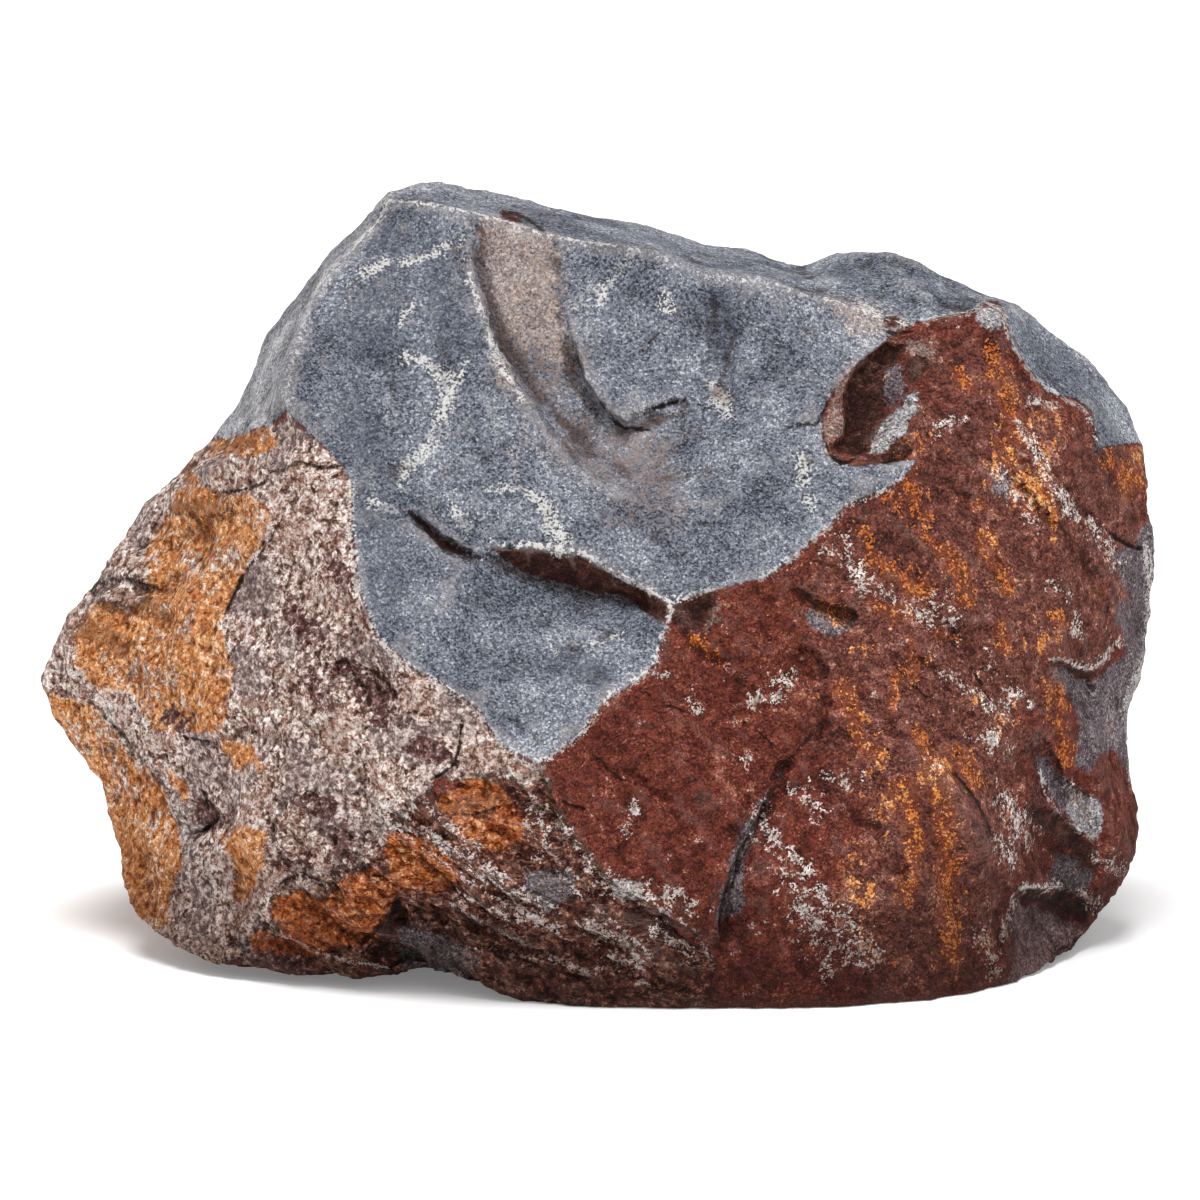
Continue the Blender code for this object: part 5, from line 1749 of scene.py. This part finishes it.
# dark brown earth in the broken-out hollows, with painted shade in the undercuts under the ledges and lips
earth_and_shade_patch = inside("earth", 2.6, 0.6)
colour = mix(earth_and_shade_patch, colour, kinds["earth"])
chip_patch = inside("chips", 4, 0.8)
colour = mix(chip_patch, colour, kinds["chip"])
print(len(stone.node_tree.nodes), "nodes after the kinds of stone")

# %% [markdown]
# ## Rust and lichen
#
# Lichen is a dry pale crust of scattered grains. Rust is sharper and brighter, and runs downwards. Both
# come from the streak fields, with noise added before the threshold, which breaks them up into specks.
# A few stray specks of each lie away from the streaks.

# %% Rust and lichen
def specks(name, scatter, pattern, low=0.45, soft=0.1):
    """A mask of the grains that belong to a streak: the more of them, the nearer its middle."""
    return (stored(name) + (pattern - 0.5) * scatter).above(low, low + soft)


shaken = 0.5 * lace + 0.5 * drips
rust_stain = specks("rust", 4.0, clouds, -0.3, 1.0) * outside_face
colour = mix(rust_stain * 0.42, colour, RUST_STAIN)
rust_patch = specks("rust", 8.0, shaken + 0.22 * (fine_cells - 0.5), 0.95, 0.2) * outside_face
colour = mix(rust_patch * 0.7, colour, kinds["rust"])
stray_rust = (shaken + 0.7 * (clouds - 0.5) + 0.08 * fine_cells).above(0.69, 0.71) * wine_patch * outside_face
colour = mix(stray_rust * 0.8, colour, kinds["rust"])
crusts = 0.68 * lace + 0.25 * web + 0.12 * fine_cells
lichen_patch = specks("lichen", 9.0, crusts, 1.75, 0.25) * outside_face
colour = mix(lichen_patch * 0.92, colour, kinds["lichen"])
stray_white = (0.5 * tiny_cells + 1.3 * (lace - 0.5) + 1.6 * (streaks - 0.5)).above(0.76, 0.84)
colour = mix(stray_white * outside_face * 0.5, colour, kinds["lichen"])
print(len(stone.node_tree.nodes), "nodes after rust and lichen")

# %% [markdown]
# ## Stains, painted shade, bruises and veins
#
# Brown and mauve stains lie on the weathered stone, and the brown also paints the shade under two ledges at
# the left end. A darker blue is painted shade on the left of the fresh face beside the scoop, in the valley
# in the scoop and on the facet under the long ledge.
# Where an arris was struck, its grains are crushed and look white. A vein is a thread of white crystals
# that comes and goes.

# %% Stains, painted shade, bruises and veins
colour = mix(bed_lines * 0.4, colour, BED_PALE)
# brown stains, and painted shade under two ledges at the left end
brown_stain_and_shade = specks("brown", 4.0, lace, 0.25, 0.3)
colour = mix(brown_stain_and_shade * 0.6, colour, BROWN_STAIN_AND_SHADE)
mauve_patch = specks("mauve", 6.0, 0.6 * lace + 0.4 * fray, 0.15, 0.2)
colour = mix(mauve_patch * 0.95, colour, kinds["mauve"])
# painted shade in blue on the left of the fresh face, in the scoop's valley and under the long ledge
painted_blue_shade_patch = stored("blue").above(0, 1) * fresh_patch
colour = mix(painted_blue_shade_patch * 0.45, colour, PAINTED_BLUE_SHADE)
bruise_patch = specks("bruise", 6.0, 0.8 * fray + 0.15 * fine_cells + 0.03, 0.45, 0.2)
colour = mix(bruise_patch * (0.35 + 0.35 * sway.above(0.4, 0.55)), colour, BRUISE_WHITE)
vein_patch = specks("vein", 6.5, 0.5 * fray + 0.3 * web + 0.2 * fine_cells, 0.75, 0.5)
vein_patch = vein_patch * (0.3 + 0.7 * sway.above(0.4, 0.48))
colour = mix(vein_patch * 0.78, colour, VEIN_WHITE)
print(len(stone.node_tree.nodes), "nodes after the veins")

# %% [markdown]
# ## Painted shade in cracks and hollows
#
# Painted shade darkens the cracks, the hair cracks and the pits, and a painted shadow lies under the ledges.
# Painted shade with some dirt is stronger the deeper a hollow is, and ridges are rubbed a little lighter.
# The stone is darker towards the floor.

# %% Painted shade in cracks and hollows
# painted shade: dark lines in the cracks, a painted shadow under the ledges, and painted shade in the hair
# cracks and pits
crack_shade_patch = specks("crack", 1.6, fray, 0.45, 0.3)
colour = mix(crack_shade_patch * 0.9, colour, CREVICE_SHADE)
ledge_shadow_patch = specks("ledge", 2.4, fray, 0.4, 0.3)
colour = mix(ledge_shadow_patch * 0.7, colour, CREVICE_SHADE)
colour = mix(hairline_patch * 0.55, colour, CREVICE_SHADE)
colour = mix(pits * 0.45, colour, CREVICE_SHADE)
# painted shade with some dirt, darker the deeper a hollow is
hollow_field = stored("hollow")
hollow_dirt_and_shade = (hollow_field + (fray - 0.5) * 0.8).above(0.1, 0.9)
colour = mix(hollow_dirt_and_shade * 0.8, colour, HOLLOW_DIRT_AND_SHADE, "MULTIPLY")
ridge_patch = (0 - hollow_field).above(0.15, 0.8)
colour = mix(ridge_patch * (0.04 + 0.12 * fresh_patch), colour, RUBBED)
above_floor = Wire.node("ShaderNodeSeparateXYZ", {}, {"Vector": place}, "Z")
# darker towards the floor, within about 85 mm of the foot
darker_towards_floor = 1 - (above_floor + (wide_fray - 0.5) * 0.09).above(0, 0.085)
colour = mix(darker_towards_floor * 0.9, colour, FOOT_DARKENING, "MULTIPLY")
print(len(stone.node_tree.nodes), "nodes after the dirt")

# %% [markdown]
# ## The touch of the surface
#
# Each grain stands a few tenths of a millimetre proud or sunken, too little for the mesh, so a Bump node
# shades it. The stone is dull all over: the fresh crystals are a little less rough than the crusts.

# %% Bump and roughness
crystal_height = 0.35 * fine_domes + 0.2 * fine_cells + 0.55 * coarse_domes + 0.2 * coarse_cells
split_height = plates * (0.25 + 0.55 * outside_face)
split_height = split_height + streaks * (1.1 * crust_patch + 1.8 * layered_patch + 1.0 * eaten_patch)
height = crystal_height * (1 - 0.3 * fresh_patch) + split_height
height = (height + 0.9 * fray - 0.8 * splits - 0.7 * pits) * MM
bump = Wire.node("ShaderNodeBump", {}, {"Strength": 1.0, "Distance": 1.0, "Height": height})
dullness = 0.86 - 0.12 * fresh_patch + 0.12 * (fine_cells - 0.5)
links = stone.node_tree.links
links.new(colour.socket, shader.inputs["Base Color"])
links.new(dullness.socket, shader.inputs["Roughness"])
links.new(bump.socket, shader.inputs["Normal"])
shader.inputs["Specular IOR Level"].default_value = 0.15
rock.data.materials.clear()
rock.data.materials.append(stone)
print(len(stone.node_tree.nodes), "nodes in the stone's material")

# %% [markdown]
# ## Floor, light and camera
#
# A stone is best seen in the soft light of a studio. One broad light hangs almost straight above, a
# weaker one stands in front on the right, and a pale sky fills the shadows. The floor is so large that
# its edge is never seen, and it glows a little, as the lit table of a studio does. The camera looks down by 12 degrees, square to the drawing sheet, and is
# orthographic because the sheet has no perspective.

# %% Floor, light and camera
SHEET_SIDE = 1200
FLOOR_SIZE = 80
FLOOR_GAP = 0.0005
FLOOR_GLOW, SKY_GLOW = 0.16, 0.46
CAMERA_DISTANCE, CAMERA_REACH = 4, 60
scene = bpy.context.scene


def linked(name, data):
    made = bpy.data.objects.new(name, data)
    scene.collection.objects.link(made)
    return made


floor_mesh = bpy.data.meshes.new("studio_floor")
half = FLOOR_SIZE / 2
corners = [(-half, -half, 0), (half, -half, 0), (half, half, 0), (-half, half, 0)]
floor_mesh.from_pydata(corners, [], [(0, 1, 2, 3)])
floor = linked("studio_floor", floor_mesh)
floor.location.z = cad_low[2] - FLOOR_GAP
paper = bpy.data.materials.new("pale_floor")
paper.use_nodes = True
paper_shader = paper.node_tree.nodes["Principled BSDF"]
paper_shader.inputs["Base Color"].default_value = (0.93, 0.93, 0.93, 1)
paper_shader.inputs["Roughness"].default_value = 0.9
paper_shader.inputs["Emission Color"].default_value = (1, 1, 1, 1)
paper_shader.inputs["Emission Strength"].default_value = FLOOR_GLOW
paper.cycles.emission_sampling = "NONE"
floor_mesh.materials.append(paper)
floor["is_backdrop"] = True

world = bpy.data.worlds.new("studio")
world.use_nodes = True
world.node_tree.nodes["Background"].inputs["Color"].default_value = (1, 1, 1, 1)
world.node_tree.nodes["Background"].inputs["Strength"].default_value = SKY_GLOW
scene.world = world


def sun(name, towards, strength, softness):
    made = linked(name, bpy.data.lights.new(name, "SUN"))
    made.data.energy = strength
    made.data.angle = math.radians(softness)
    made.rotation_euler = Vector(towards).to_track_quat("-Z", "Y").to_euler()


sun("key_light", (0.06, 0.2, -1.0), 2.75, 30)
sun("fill_light", (-0.45, 0.85, -0.2), 0.95, 60)

camera = linked("camera", bpy.data.cameras.new("camera"))
camera.data.type = "ORTHO"
camera.data.ortho_scale = SHEET_SIDE * SQUARE_MM * MM
camera.data.clip_end = CAMERA_REACH
sheet_middle = (FOOT_ROW - SHEET_SIDE / 2) * SQUARE_MM
aim = np.array([0, 0, height_of(sheet_middle, 0)]) * MM + shift
backwards = np.array([0, -math.cos(SHEET_LEAN), math.sin(SHEET_LEAN)])
camera.location = aim + backwards * CAMERA_DISTANCE
camera.rotation_euler = (math.pi / 2 - SHEET_LEAN, 0, 0)
scene.camera = camera
scene.view_settings.view_transform = "Standard"
print("camera sees", round(camera.data.ortho_scale, 3), "m")
